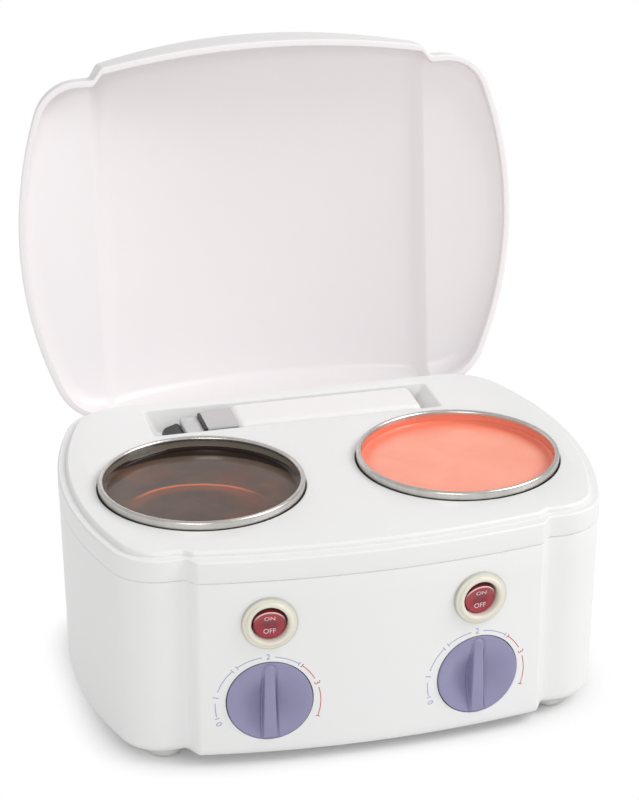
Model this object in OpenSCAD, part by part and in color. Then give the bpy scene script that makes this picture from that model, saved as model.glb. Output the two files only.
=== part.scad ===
// Double wax warmer: two heated wells with lift-out cans, a wand tray and a hinged lid.
// Millimetres, Z up. The feet stand on z = 0, and the controls face -Y.
// The origin lies on the widest line of the body, midway between its bowed sides.

/* [Body outline] */
// Widest width, across the bowed sides
body_w = 260; // [252:1:300]
// Radius of the bowed sides, seen from above
side_r = 200; // [190:5:400]
// Distance from the widest line to the front face of the corner wings
wing_front = 82.5; // [80:0.5:90]
// Distance from the widest line to the rear face of the corner wings
wing_rear = 95.8; // [92:0.2:104]
// Radius of the front corners
front_corner_r = 24; // [20:1:30]
// Radius of the rear corners
rear_corner_r = 30; // [24:1:34]
// Half the width of the raised panel that runs up the front, over the lid and down the rear
panel_half = 82.5; // [80:0.5:86]
// Width of the slanted step beside the panel
step_w = 6.3; // [4:0.1:8]
// How far the middle of the front panel stands in front of the wings
panel_proud = 13.5; // [11:0.5:20]
// How far the front panel falls back from its middle to its edge
panel_bow = 7.5; // [5:0.5:9]
// How far the rear panel stands behind the wings
rear_proud = 2.7; // [1.5:0.1:6]

/* [Body heights and walls] */
// Height of the feet
foot_h = 6; // [4:0.5:12]
// Height of the ledge that the lid closes on
ledge_z = 108.5; // [106:0.5:130]
// Height of the deck's skirt below the ledge
skirt_h = 11; // [9:0.5:14]
// Rise of the deck's plateau above the ledge
plateau_rise = 2.5; // [1.5:0.1:4]
// Width of the ledge at the wings
ledge_w = 4.2; // [4.1:0.1:6]
// Width of the ledge at the panels
ledge_panel_w = 6.5; // [5:0.1:9]
// Wall thickness of the tub and the deck
wall = 3; // [2.4:0.1:4]
// How far the wings lean inward from the seam to the foot
wing_draft = 1.8; // [0:0.1:3]
// How far the panels lean inward from the seam to the foot
panel_draft = 0.8; // [0:0.1:2]
// Height of the rounded lower edge
edge_h = 5; // [3:0.5:8]
// Depth of the rounded lower edge at the wings
edge_w = 4.4; // [2:0.2:6]

/* [Wax cans and wells] */
// Distance of each can from the middle
can_x = 64.4; // [62:0.2:67]
// Place of the cans in depth, from the widest line
can_y = -11.5; // [-16:0.5:-8]
// Outside radius of a can's rolled rim
can_r = 50; // [46:0.5:51]
// Height of a can
can_h = 68; // [55:1:80]
// Thickness of a can's tinplate
can_t = 0.6; // [0.4:0.1:1]
// Radius of the wire-like bead round the rim
bead_r = 1.3; // [0.8:0.1:1.8]
// Height of the folded seam under a can's rim
fold_h = 4.4; // [3:0.1:6]
// How far the rim stands above the deck's plateau
rim_up = 4; // [3:0.5:8]
// How far the wax lies below the rim
wax_down = 6.5; // [5:0.5:20]
// Gap between a can's rim and the deck's opening
can_gap = 0.5; // [0.4:0.1:1]
// Thickness of the aluminium of a well
well_t = 1.5; // [1:0.1:2]
// Height of the heater band
band_h = 30; // [20:1:40]
// Thickness of the heater band
band_t = 2; // [1:0.5:3]

/* [Tray and wand] */
// Half the length of the tray's mouth
tray_half = 75.2; // [70:0.2:78]
// Distance from the widest line to the tray's front edge
tray_front = 50.5; // [50:0.5:53]
// Width of the tray, front to rear
tray_w = 31.7; // [30:0.1:32]
// Depth of the tray below the plateau
tray_deep = 13; // [10:0.5:16]
// How far each end of the tray slopes inward
tray_slope = 7; // [2:0.5:7]
// Thickness of the tray's shell
tray_t = 2.4; // [1.6:0.1:2.4]
// Play of the wand along the tray's floor
wand_play = 4.3; // [2:0.1:6]
// Width of the wand's handle
handle_w = 27; // [22:0.5:28]
// Thickness of the wand's handle
handle_h = 13.5; // [10:0.5:16]
// Rounding of the handle's edges
handle_r = 4.2; // [2:0.2:4.8]
// Length of the steel collar
collar_l = 15.5; // [8:0.5:16]
// Length of the neck block
neck_l = 8.5; // [5:0.5:9]
// Length of the black roller head
tip_l = 9.5; // [6:0.5:9.5]

/* [Lid] */
// Height of the lid over its rim, in the middle of its arched panel band
lid_h = 40; // [37:0.5:46]
// Height of the panel band's arch at the band's edges
band_low = 23.3; // [22.6:0.1:26]
// Height of the wings' arch, if it went on to the middle
wing_arch_h = 28; // [26:0.5:31]
// Height of the wings' arch at the lid's sides
wing_low = 5.3; // [5:0.1:8]
// Height at which the wings' walls begin to lean inward
lean_h = 6; // [4:0.5:8]
// How far the wings' walls lean inward over 12 mm of height
wing_lean = 3; // [1:0.5:4]
// Wall thickness of the lid
lid_t = 2.4; // [1.8:0.1:3]
// Width of the lid's rim face
rim_w = 3.5; // [3:0.1:3.8]
// How far the rounding of the band's crown reaches inward
crown_w = 8; // [5:0.5:12]
// Gap between the closed rim and the ledge
lid_gap = 0.4; // [0.3:0.1:0.8]
// Angle between the closed lid and the open lid
open_angle = 96.3; // [60:0.1:100]

/* [Hinge] */
// Distance of each hinge from the middle
hinge_x = 56; // [30:1:66]
// Distance from the rear face of the panel to the hinge axis
hinge_in = 4.4; // [4:0.1:5]
// Distance from the ledge down to the hinge axis
hinge_down = 7.1; // [6.8:0.1:8]
// Radius of a hinge pin
pin_r = 2; // [1:0.1:2.4]
// Length of a lid barrel
barrel_l = 10.8; // [6:0.2:14]
// Running clearance round a pin, on the radius
pin_gap = 0.05; // [0.02:0.01:0.08]

/* [Controls] */
// Distance of each knob and switch from the middle
control_x = 50.8; // [44:0.2:56]
// Height of the knobs' axes
knob_z = 34.7; // [33:0.5:38]
// Height of the switches' axes
switch_z = 76; // [72:0.5:78]
// Radius of a knob's skirt
knob_r = 20.25; // [18:0.25:22]
// How far a knob's rim stands out of the panel
knob_proud = 0.5; // [0:0.1:1.5]
// Thickness of a knob
knob_t = 8.5; // [8:0.1:9]
// Depth of the finger hollows beside a knob's fin
hollow_deep = 5; // [3:0.1:5.2]
// Gap round a knob in its recess
knob_gap = 0.5; // [0.4:0.05:1]
// Radius of a thermostat shaft
shaft_r = 2; // [1.6:0.1:2.1]
// Radius of a switch bezel
bezel_r = 13.25; // [12.5:0.25:15]
// Radius of a bezel's opening
opening_r = 8.65; // [8.4:0.05:9]
// Width of the gap beside a rocker
rocker_gap = 0.95; // [0.95:0.05:1.5]
// Travel of a rocker
rocker_swing = 22; // [14:0.5:23]

/* [Feet and fixings] */
// Radius of a rubber foot
foot_r = 9; // [6:0.5:9]
// Distance of the front feet from the body's sides
front_foot_in = 33.7; // [32:0.1:42]
// Distance of the front feet in front of the widest line
front_foot_y = 65.5; // [56:0.5:65.5]
// Distance of the rear feet from the body's sides
rear_foot_in = 37; // [34:0.5:50]
// Distance of the rear feet behind the widest line
rear_foot_y = 76; // [60:0.5:76]
// Radius of the pillars that the housing screws stand in
pillar_r = 4.5; // [4.2:0.1:4.6]
// Radius of the cord's inlet bore
cord_r = 3.65; // [2.5:0.05:4.2]
// Height of the cord inlet
cord_z = 30; // [26:0.5:50]
// Distance of the cord inlet to the left of the middle
cord_x = 70; // [40:1:70]

/* [Hidden] */

$fn = 96;
// A cut runs this far past the face that it opens
over = 1;
// Lies between two pieces that are only set in place
seat = 0.2;
// Lies round a screw in its pilot hole, and round a part in its press-in seat
snug = 0.03;
// Lies round a screw in its clearance hole
loose = 0.4;

// Heights
seam_z = ledge_z - skirt_h;
deck_z = ledge_z + plateau_rise;
floor_z = foot_h + wall;
rim_z = deck_z + rim_up;
can_z = rim_z - can_h;
wax_z = rim_z - wax_down;
tray_z = deck_z - tray_deep;
ceiling_z = min(deck_z - wall, ledge_z - 0.5);

// Places in depth
front_y = wing_front + panel_proud;
rear_y = wing_rear + rear_proud;
tray_rear = tray_front + tray_w;
tray_mid = tray_front + tray_w / 2;

// The outline's circles
half_w = body_w / 2;
bow_r = (panel_half * panel_half + panel_bow * panel_bow) / (2 * panel_bow);
root_x = panel_half + step_w;
edge_proud = panel_proud - panel_bow;
seam_in = 0.3;

// Radii in and round a well
hole_r = can_r + can_gap;
can_wall_r = can_r - bead_r + 0.05;
well_r = hole_r - 0.1;
well_out_r = well_r + well_t;
collar_r = hole_r + 2.5;
flange_r = collar_r + 2;
flange_z = deck_z - 10;
well_floor_z = can_z - seat - well_t;
ear_at = flange_r + 2;
ear_r = 4;
ear_turns = [-35, 35, 145, 215];
post_r = 3.5;
shield_gap = 1.6;
shield_t = 0.8;
shield_r = well_out_r + band_t + shield_gap;
shield_z = well_floor_z - 5.5;
screw_r = 1.5;
well_head_r = 2.75;
well_head_h = 2;
well_head_z = flange_z - well_t - well_head_h;

// Housing screws
pillar_places = [
    [half_w - 19.5, 25.5 - wing_front], [19.5 - half_w, 25.5 - wing_front],
    [half_w - 22.5, wing_rear - 25.8], [22.5 - half_w, wing_rear - 25.8],
    [0, 16 - front_y], [0, rear_y - 9.2]];
front_foot_x = half_w - front_foot_in;
rear_foot_x = half_w - rear_foot_in;
head_r = 2.9;
head_h = 2.2;
pilot_top = ledge_z - 3.5;
head_z = seam_z - 11.5;

// Hinge
axis_y = rear_y - hinge_in;
axis_z = ledge_z - hinge_down;
round_r = hinge_down + 0.1;
barrel_r = pin_r + 1.6;
arm_t = barrel_r + 0.8;
notch_l = barrel_l + 1.2;
cheek_t = 2.5;
pin_l = notch_l + 2 * cheek_t;
notch_z = axis_z - barrel_r - 0.4;
notch_y = axis_y - barrel_r - 0.5;

// Lid
rim_plane = ledge_z + lid_gap;
lid_draft = 1;
flank_foot = arch_z(root_x, wing_arch_h, wing_low, half_w) + 0.4;
flank_top = band_low - 1.3;
crown_h = lid_h + 2;
crown_foot = lid_h - 16;
// How far the hollow's flanks lie inside the band's flanks
flank_in = 1;

// Controls: heights are measured outward from the panel's face
bezel_seat = -0.35;
pad_back = -wall - 1.2;
tube_r = opening_r + 1.25;
tube_back = -14;
tube_hole_r = tube_r + 0.2;
trunnion_r = 1.2;
trunnion_z = -2;
rocker_r = opening_r - rocker_gap;
knob_back = knob_proud - knob_t;
recess_z = knob_back - 0.8;
recess_back = recess_z - 2.5;
recess_r = knob_r + knob_gap;
bush_r = shaft_r + 2;
nut_h = 2;
bush_top = recess_z + nut_h + 0.3;
fin_top = knob_proud + 0.5;
fin_end = knob_r - 1.65;
shaft_top = knob_proud - 2;
thermostat_r = 13;

// Cord inlet
bush_out_r = cord_r + 3.3;
bush_rim_r = bush_out_r + 2.6;
clamp_screw_x = cord_r + 4.4;
clamp_screw_in = 14.5;
clamp_half = clamp_screw_x + 3;
clamp_l = 7;
clamp_top = cord_z + cord_r + 2.5;
terminal_in = 23.5;
terminal_screw_x = 12;
terminal_half = terminal_screw_x + 4;
terminal_l = 15;
terminal_z = floor_z + 4;
terminal_h = 13;

function arc(c, r, from, to, steps) =
    [for (i = [0:steps]) c + r * [cos(from + (to - from) * i / steps), sin(from + (to - from) * i / steps)]];

function mirrored(right) =
    concat(right, [for (i = [len(right) - 1:-1:0]) if (right[i].x > 0.001) [-right[i].x, right[i].y]]);

// Middle of a corner's arc, where it meets the bowed side smoothly
function corner_at(r, depth) =
    [half_w - side_r + sqrt(pow(side_r - r, 2) - pow(depth - r, 2)), depth - r];
front_corner = corner_at(front_corner_r, wing_front);
rear_corner = corner_at(rear_corner_r, wing_rear);
side_turn_front = atan2(front_corner.y, front_corner.x - half_w + side_r);
side_turn_rear = atan2(rear_corner.y, rear_corner.x - half_w + side_r);

// Angle at which the rear corner ends: where it meets the step, or square to the rear
function rear_end(r) = rear_corner.x >= root_x ? 90 : acos((root_x - rear_corner.x) / r);

function bow_y(x, in) = bow_r - front_y - sqrt(pow(bow_r - in, 2) - x * x);

// Right-hand side of the body's wings, moved inward by in, from the front corner to the rear corner
function wing_side(in, rear_turn) = concat(
    arc([front_corner.x, -front_corner.y], front_corner_r - in, -90, -side_turn_front, 7),
    [for (i = [1:5]) let (t = -side_turn_front + (side_turn_front + side_turn_rear) * i / 6)
        [half_w - side_r, 0] + (side_r - in) * [cos(t), sin(t)]],
    arc(rear_corner, rear_corner_r - in, side_turn_rear, rear_turn, 7));

// Smooth step from the panel's edge at share 0 to the wing at share 1
function step_at(from, to, share) =
    [panel_half + step_w * share, from + (to - from) * (3 - 2 * share) * share * share];

// Outline of the body: wings moved inward by in, and panels by panel_in
function plan(in, panel_in) = mirrored(concat(
    [for (i = [0:7]) let (x = panel_half * i / 7) [x, bow_y(x, panel_in)]],
    [for (s = [0.25, 0.5, 0.75]) step_at(bow_y(panel_half, panel_in), in - wing_front, s)],
    front_corner.x > root_x + 0.5 ? [[root_x, in - wing_front]] : [],
    wing_side(in, rear_end(rear_corner_r - in)),
    rear_corner.x > root_x + 0.5 ? [[root_x, wing_rear - in]] : [],
    [for (s = [0.75, 0.5, 0.25, 0]) step_at(rear_y - panel_in, wing_rear - in, s)]));

// Outline of the lid's wings alone, with straight front and rear
function wing_plan(in) = mirrored(wing_side(in, 90));

// Outline of the lid's panel band: x of its edge, x of its root, how far each line lies inward
function band_plan(edge, root, in, root_front, root_rear) = mirrored(concat(
    [for (i = [0:7]) let (x = edge * i / 7) [x, bow_y(x, in)]],
    [[root, root_front - wing_front], [root, wing_rear - root_rear]],
    [[edge, rear_y - in]]));

function tray_plan(half, front, rear, r) = mirrored(concat(
    arc([half - r, front + r], r, -90, 0, 5),
    arc([half - r, rear - r], r, 0, 90, 5)));

// Solid skin through a stack of outlines, each given as [height, points]
module loft(rings) {
    n = len(rings[0][1]);
    last = len(rings) - 1;
    polyhedron(
        points = [for (ring = rings) for (p = ring[1]) [p.x, p.y, ring[0]]],
        faces = concat(
            [[for (i = [0:n - 1]) i]],
            [for (k = [0:last - 1]) for (i = [0:n - 1])
                [k * n + i, (k + 1) * n + i, (k + 1) * n + (i + 1) % n]],
            [for (k = [0:last - 1]) for (i = [0:n - 1])
                [k * n + i, (k + 1) * n + (i + 1) % n, k * n + (i + 1) % n]],
            [[for (i = [n - 1:-1:0]) last * n + i]]),
        convexity = 6);
}

module block(from, to) {
    translate(from) cube(to - from);
}

// Places its children with their Z pointing out of the front panel, on its face
panel_turn = asin(control_x / bow_r);
function panel_in_at(z) = seam_in + panel_draft * (seam_z - z) / (seam_z - foot_h);
module on_panel(side, z) {
    translate([side * control_x, bow_y(control_x, panel_in_at(z)), z])
        rotate([90, 0, side * panel_turn]) children();
}

module at_can(side) {
    translate([side * can_x, can_y, 0]) children();
}

module at_ears() {
    for (turn = ear_turns) rotate([0, 0, turn]) translate([ear_at, 0, 0]) children();
}

module at_pillars() {
    for (p = pillar_places) translate([p.x, p.y, 0]) children();
}

module at_hinge(side) {
    translate([side * hinge_x, axis_y, axis_z]) rotate([0, 90, 0]) children();
}

module at_inlet() {
    translate([-cord_x, rear_y - panel_in_at(cord_z), cord_z]) rotate([-90, 0, 0]) children();
}

module feet_places() {
    for (side = [-1, 1]) {
        translate([side * front_foot_x, -front_foot_y, 0]) children();
        translate([side * rear_foot_x, rear_foot_y, 0]) children();
    }
}

// Base tub
function tub_ring(z, more, more_panel) = [z, plan(
    seam_in + wing_draft * (seam_z - z) / (seam_z - foot_h) + more, panel_in_at(z) + more_panel)];

// Up the outside, over the seam and down the inside
module tub_shell() {
    loft(concat(
        [for (a = [90, 60, 30, 0]) tub_ring(foot_h + edge_h * (1 - sin(a)),
            edge_w * (1 - cos(a)), edge_w / 2 * (1 - cos(a)))],
        [tub_ring(seam_z, 0, 0),
            tub_ring(seam_z, wall, wall),
            tub_ring(floor_z + edge_h, wall, wall),
            tub_ring(floor_z, wall + edge_w / 2, wall + edge_w / 4)]));
}

module hinge_room(side) {
    half = pin_l / 2 + 0.5;
    block([side * hinge_x - half, notch_y - cheek_t - 1, seam_z - 2 * over],
        [side * hinge_x + half, rear_y + over, ledge_z]);
}

module clamp_stand() {
    y = rear_y - clamp_screw_in;
    block([-cord_x - clamp_half, y - clamp_l / 2 - 0.5, foot_h + 1],
        [-cord_x + clamp_half, y + clamp_l / 2 + 0.5, cord_z - seat]);
}

module terminal_stand() {
    y = rear_y - terminal_in;
    block([-terminal_half - 2, y - terminal_l / 2 - 1.5, foot_h + 1],
        [terminal_half + 2, y + terminal_l / 2 + 1.5, terminal_z]);
}

module tub_openings() {
    at_pillars() {
        translate([0, 0, foot_h - over]) cylinder(r = head_r + 0.9, h = head_z - foot_h + head_h + over);
        translate([0, 0, foot_h]) cylinder(r = screw_r + loose, h = seam_z - foot_h + 3);
    }
    for (side = [-1, 1]) {
        on_panel(side, switch_z) {
            translate([0, 0, pad_back - over]) cylinder(r = tube_hole_r, h = -pad_back + 2 * over);
            translate([0, 0, bezel_seat]) cylinder(r = bezel_r + 0.3, h = 2);
        }
        on_panel(side, knob_z) {
            translate([0, 0, recess_z]) cylinder(r = recess_r, h = 2 - recess_z);
            translate([0, 0, recess_back - over])
                cylinder(r = bush_r + 0.2, h = recess_z - recess_back + 2 * over);
        }
    }
    at_inlet() {
        translate([0, 0, -wall - 3]) cylinder(r = bush_out_r + 0.2, h = wall + 5);
        translate([0, 0, -0.4]) cylinder(r = bush_rim_r + 0.3, h = 2);
        translate([0, 0, -22]) cylinder(r = cord_r + 0.15, h = 18);
        for (side = [-1, 1]) translate([side * clamp_screw_x, 0, panel_in_at(cord_z) - clamp_screw_in])
            rotate([-90, 0, 0]) cylinder(r = screw_r + snug, h = 12);
    }
    feet_places() translate([0, 0, foot_h - over]) cylinder(r = screw_r + snug, h = 8 + over);
    for (side = [-1, 1]) translate([side * terminal_screw_x, rear_y - terminal_in, foot_h + 1.5])
        cylinder(r = screw_r + snug, h = terminal_z - foot_h);
    for (side = [-1, 1]) for (i = [-3:3]) translate([side * can_x + 8 * i, can_y, foot_h - over]) vent_slot();
}

module vent_slot() {
    slot_l = 28;
    slot_r = 1.5;
    linear_extrude(wall + 2 * over) {
        square([2 * slot_r, slot_l], center = true);
        translate([0, -slot_l / 2]) circle(r = slot_r);
        translate([0, slot_l / 2]) circle(r = slot_r);
    }
}

module base_tub() {
    color("whitesmoke") difference() {
        union() {
            tub_shell();
            at_pillars() translate([0, 0, foot_h + 1]) cylinder(r = pillar_r, h = seam_z - foot_h - 1);
            feet_places() translate([0, 0, foot_h + 1]) cylinder(r = 5, h = 9);
            for (side = [-1, 1]) {
                at_can(side) at_ears() translate([-1, 0, foot_h + 1])
                    cylinder(r = 3, h = shield_z - foot_h - 1);
                on_panel(side, switch_z) translate([0, 0, pad_back])
                    cylinder(r = bezel_r + 1, h = wall + 0.2);
                on_panel(side, knob_z) translate([0, 0, recess_back])
                    cylinder(r = recess_r + 2.2, h = -recess_back - wall / 2);
            }
            clamp_stand();
            terminal_stand();
        }
        tub_openings();
    }
}

// Top deck
// Down the inside from the ceiling, then up the outside
module deck_shell() {
    loft([[ceiling_z, plan(ledge_w + wall, ledge_panel_w + wall)],
        [ledge_z - wall, plan(ledge_w + wall, ledge_panel_w + wall)],
        [ledge_z - wall, plan(wall + 0.2, wall + 0.2)],
        [seam_z, plan(wall + 0.2, wall + 0.2)],
        [seam_z, plan(0.1, 0.1)],
        [ledge_z - 0.8, plan(0, 0)],
        [ledge_z - 0.2, plan(0.2, 0.2)],
        [ledge_z, plan(0.8, 0.8)],
        [ledge_z, plan(ledge_w, ledge_panel_w)],
        [ledge_z + plateau_rise * 0.6, plan(ledge_w + 0.2, ledge_panel_w + 0.2)],
        [ledge_z + plateau_rise * 0.9, plan(ledge_w + 0.6, ledge_panel_w + 0.6)],
        [deck_z, plan(ledge_w + 1.5, ledge_panel_w + 1.5)]]);
}

module tray_shell() {
    loft([[tray_z - tray_t, tray_plan(tray_half - tray_slope + tray_t,
            tray_front - tray_t + 1, tray_rear + tray_t - 1, 6)],
        [deck_z - 1.5, tray_plan(tray_half + tray_t, tray_front - tray_t, tray_rear + tray_t, 6)]]);
}

module tray_room() {
    slope = (deck_z + over - tray_z) / tray_deep;
    loft([[tray_z, tray_plan(tray_half - tray_slope, tray_front + 1, tray_rear - 1, 2)],
        [deck_z + over, tray_plan(tray_half + tray_slope * (slope - 1), tray_front + 1 - slope,
            tray_rear - 1 + slope, 3)]]);
}

module hinge_pocket(side) {
    half = pin_l / 2;
    block([side * hinge_x - half, notch_y - cheek_t, seam_z - 2.5],
        [side * hinge_x + half, rear_y - seam_in - wall - 0.4, ledge_z - 0.5]);
    block([side * hinge_x - half, notch_y - cheek_t, seam_z],
        [side * hinge_x + half, rear_y - 1.5, ledge_z - 0.5]);
}

module hinge_notch(side) {
    half = notch_l / 2;
    block([side * hinge_x - half, notch_y, notch_z], [side * hinge_x + half, rear_y + over, deck_z + over]);
    at_hinge(side) translate([0, 0, -pin_l / 2 - over]) cylinder(r = pin_r + snug, h = pin_l + 2 * over);
}

// Rounds the rear edge about the hinge axis, so that the lid's rim sweeps clear of it
module rear_edge_cut() {
    difference() {
        block([-half_w, axis_y, axis_z], [half_w, rear_y + over, deck_z + over]);
        translate([0, axis_y, axis_z]) rotate([0, 90, 0])
            cylinder(r = round_r, h = body_w + 2 * over, center = true);
    }
}

module top_deck() {
    color("white") difference() {
        union() {
            deck_shell();
            tray_shell();
            at_pillars() translate([0, 0, seam_z]) cylinder(r = pillar_r, h = ledge_z - seam_z - 0.1);
            for (side = [-1, 1]) {
                at_can(side) translate([0, 0, flange_z]) cylinder(r = collar_r, h = deck_z - flange_z - 1);
                at_can(side) at_ears() translate([0, 0, flange_z])
                    cylinder(r = post_r, h = deck_z - flange_z - 1);
                hinge_pocket(side);
            }
        }
        tray_room();
        rear_edge_cut();
        for (side = [-1, 1]) {
            at_can(side) translate([0, 0, flange_z - over])
                cylinder(r = hole_r, h = deck_z - flange_z + 2 * over);
            at_can(side) at_ears() translate([0, 0, flange_z - over])
                cylinder(r = screw_r + snug, h = 5.5 + over);
            hinge_notch(side);
        }
        at_pillars() translate([0, 0, seam_z - over])
            cylinder(r = screw_r + snug, h = pilot_top - seam_z + over);
    }
}

// Lid, drawn closed and then turned open about the hinge
function lid_in(z) = z < lean_h ? lid_draft * z / lean_h : lid_draft + wing_lean * (z - lean_h) / 12;
function band_in(z) = lid_draft * z / crown_foot;
function arch_r(top, low, at) = (at * at + pow(top - low, 2)) / (2 * (top - low));
function arch_z(x, top, low, at) = top - arch_r(top, low, at) + sqrt(pow(arch_r(top, low, at), 2) - x * x);

// Everything below an arch that spans the lid, high in the middle and low at this distance from it
module under_arch(top, low, at) {
    r = arch_r(top, low, at);
    translate([0, rear_y + 5, rim_plane + top - r]) rotate([90, 0, 0])
        cylinder(r = r, h = rear_y + front_y + 10, $fn = 360);
}

// Wings of the lid, or of its hollow: thick is 0 for the outside, down is how far the arch is lowered
module lid_wings(thick, down) {
    foot = thick > 0 ? rim_w : 0;
    intersection() {
        loft([[rim_plane - (thick > 0 ? over : 0), wing_plan(foot)],
            [rim_plane + lean_h, wing_plan(max(foot, lid_in(lean_h) + thick))],
            [rim_plane + flank_top + 6, wing_plan(lid_in(flank_top + 6) + thick)]]);
        under_arch(wing_arch_h - down, wing_low - down, half_w);
    }
}

// The panel band: below the wings' top its root follows them, above it the flank slants to the edge
module lid_band(thick, down) {
    foot = thick > 0 ? rim_w : 0;
    edge = panel_half - (thick > 0 ? flank_in : 0);
    root = root_x - (thick > 0 ? flank_in : 0);
    mid_in = max(foot, lid_in(lean_h) + thick);
    mid_band_in = max(foot, band_in(lean_h) + thick);
    top_in = lid_draft + thick;
    high = flank_foot - down;
    intersection() {
        loft(concat(
            [[rim_plane - (thick > 0 ? over : 0), band_plan(edge, root, foot, foot, foot)],
                [rim_plane + lean_h, band_plan(edge, root, mid_band_in, mid_in, mid_in)],
                [rim_plane + high, band_plan(edge, root, max(foot, band_in(high) + thick),
                    lid_in(high) + thick, lid_in(high) + thick)]],
            [for (a = [-1, 0, 22.5, 45, 67.5, 90]) let (
                    in = a < 0 ? max(foot, band_in(flank_top) + thick) : top_in + crown_w * (1 - cos(a)),
                    z = a < 0 ? flank_top : crown_foot + (crown_h - crown_foot) * sin(a))
                [rim_plane + z - down,
                    band_plan(edge, edge + 0.3, in, in - edge_proud + 0.5, in - rear_proud + 0.5)]]));
        under_arch(lid_h - down, band_low - down, panel_half);
    }
}

module lid_arm(side) {
    at_hinge(side) translate([0, 0, -barrel_l / 2]) cylinder(r = barrel_r, h = barrel_l);
    block([side * hinge_x - barrel_l / 2, axis_y - arm_t / 2, axis_z],
        [side * hinge_x + barrel_l / 2, axis_y + arm_t / 2, rim_plane + 9]);
}

module lid_closed() {
    difference() {
        union() {
            difference() {
                union() {
                    lid_wings(0, 0);
                    lid_band(0, 0);
                }
                lid_wings(lid_t, lid_t);
                lid_band(lid_t, lid_t);
            }
            for (side = [-1, 1]) lid_arm(side);
        }
        for (side = [-1, 1]) at_hinge(side)
            translate([0, 0, -barrel_l / 2 - over]) cylinder(r = pin_r + pin_gap, h = barrel_l + 2 * over);
    }
}

module lid() {
    color("white") translate([0, axis_y, axis_z]) rotate([-open_angle, 0, 0])
        translate([0, -axis_y, -axis_z]) lid_closed();
}

module hinge_pin(side) {
    color("silver") at_hinge(side) translate([0, 0, -pin_l / 2]) cylinder(r = pin_r, h = pin_l);
}

// Heated wells
module well(side) {
    color("gainsboro") at_can(side) difference() {
        union() {
            translate([0, 0, well_floor_z]) cylinder(r = well_out_r, h = flange_z - well_floor_z);
            translate([0, 0, flange_z - well_t]) cylinder(r = flange_r, h = well_t);
            at_ears() translate([0, 0, flange_z - well_t]) cylinder(r = ear_r, h = well_t);
        }
        translate([0, 0, well_floor_z + well_t]) cylinder(r = well_r, h = flange_z);
        at_ears() translate([0, 0, flange_z - well_t - over])
            cylinder(r = screw_r + 0.2, h = well_t + 2 * over);
    }
}

module heater_band(side) {
    color("peru") at_can(side) translate([0, 0, well_floor_z + 5]) difference() {
        union() {
            cylinder(r = well_out_r + band_t, h = band_h);
            translate([-5, -well_out_r - band_t - 1, band_h / 2 - 6]) cube([10, 3, 12]);
        }
        translate([0, 0, -over]) cylinder(r = well_out_r + 0.1, h = band_h + 2 * over);
    }
}

module heat_shield(side) {
    top = well_head_z - 0.3;
    color("silver") at_can(side) difference() {
        translate([0, 0, shield_z]) cylinder(r = shield_r + shield_t, h = top - shield_z);
        translate([0, 0, shield_z - over]) cylinder(r = shield_r, h = top - shield_z + 2 * over);
    }
}

module thermal_cutout(side) {
    color("dimgray") at_can(side) translate([0, 0, well_floor_z - 6]) {
        cylinder(r = 7, h = 6);
        translate([-1.5, -12, 1]) cube([3, 24, 1]);
    }
}

// Wax cans: rolled tinplate with a bead round the rim
module can(side) {
    color("silver") at_can(side) rotate_extrude() union() {
        translate([0, can_z]) square([can_wall_r, can_t]);
        translate([can_wall_r - can_t, can_z]) square([can_t, can_h - bead_r]);
        translate([can_wall_r - can_t, rim_z - fold_h])
            square([can_r - can_wall_r + can_t, fold_h - bead_r]);
        translate([can_r - bead_r, rim_z - bead_r]) circle(r = bead_r);
    }
}

module wax(side) {
    translate([side * can_x, can_y, can_z + can_t])
        cylinder(r = can_wall_r - can_t - snug, h = wax_z - can_z - can_t);
}

module amber_wax() {
    color("saddlebrown") wax(-1);
}

module pink_wax() {
    color("lightsalmon") wax(1);
}

// Wand, lying in the tray
module soft_block(from, to, r) {
    hull() for (x = [from.x + r, to.x - r]) for (y = [from.y + r, to.y - r]) for (z = [from.z + r, to.z - r])
        translate([x, y, z]) sphere(r = r, $fn = 32);
}

wand_z = tray_z + 0.3;
wand_y = tray_mid - 0.6;
tray_floor = tray_half - tray_slope;
neck_gap = 2;
tip_x = -tray_floor + wand_play * 0.4;
neck_x = tip_x + tip_l;
collar_x = neck_x + neck_l + neck_gap;
handle_x = collar_x + collar_l;
handle_l = tray_floor - wand_play * 0.6 - handle_x;
stem_z = wand_z + handle_h * 0.5;

module wand_handle() {
    color("white") difference() {
        soft_block([handle_x, wand_y - handle_w / 2, wand_z],
            [handle_x + handle_l, wand_y + handle_w / 2, wand_z + handle_h], handle_r);
        block([handle_x - over, wand_y - handle_w, wand_z - over],
            [handle_x + 1.5, wand_y + handle_w, wand_z + handle_h + over]);
    }
}

module wand_collar() {
    half = handle_w / 2 - 2.75;
    color("lightgray") union() {
        block([collar_x, wand_y - half, wand_z], [handle_x + 1.5, wand_y + half, wand_z + handle_h - 1.5]);
        translate([collar_x - neck_gap, wand_y, stem_z]) rotate([0, 90, 0])
            cylinder(r = 4, h = neck_gap + over);
    }
}

module wand_neck() {
    half = handle_w / 2 - 3;
    color("dimgray") block([neck_x, wand_y - half, wand_z],
        [neck_x + neck_l, wand_y + half, wand_z + handle_h - 3.8]);
}

module wand_tip() {
    half = handle_w / 2 - 2.5;
    high = handle_h - 4.8;
    color("black") translate([0, wand_y + half, wand_z]) rotate([90, 0, 0]) linear_extrude(2 * half) union() {
        polygon([[tip_x + 3, 0], [neck_x, 0], [neck_x, high], [tip_x + 3, high - 3], [tip_x, high - 5],
            [tip_x, 3]]);
        translate([tip_x + 3, 3]) circle(r = 3);
    }
}

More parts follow.
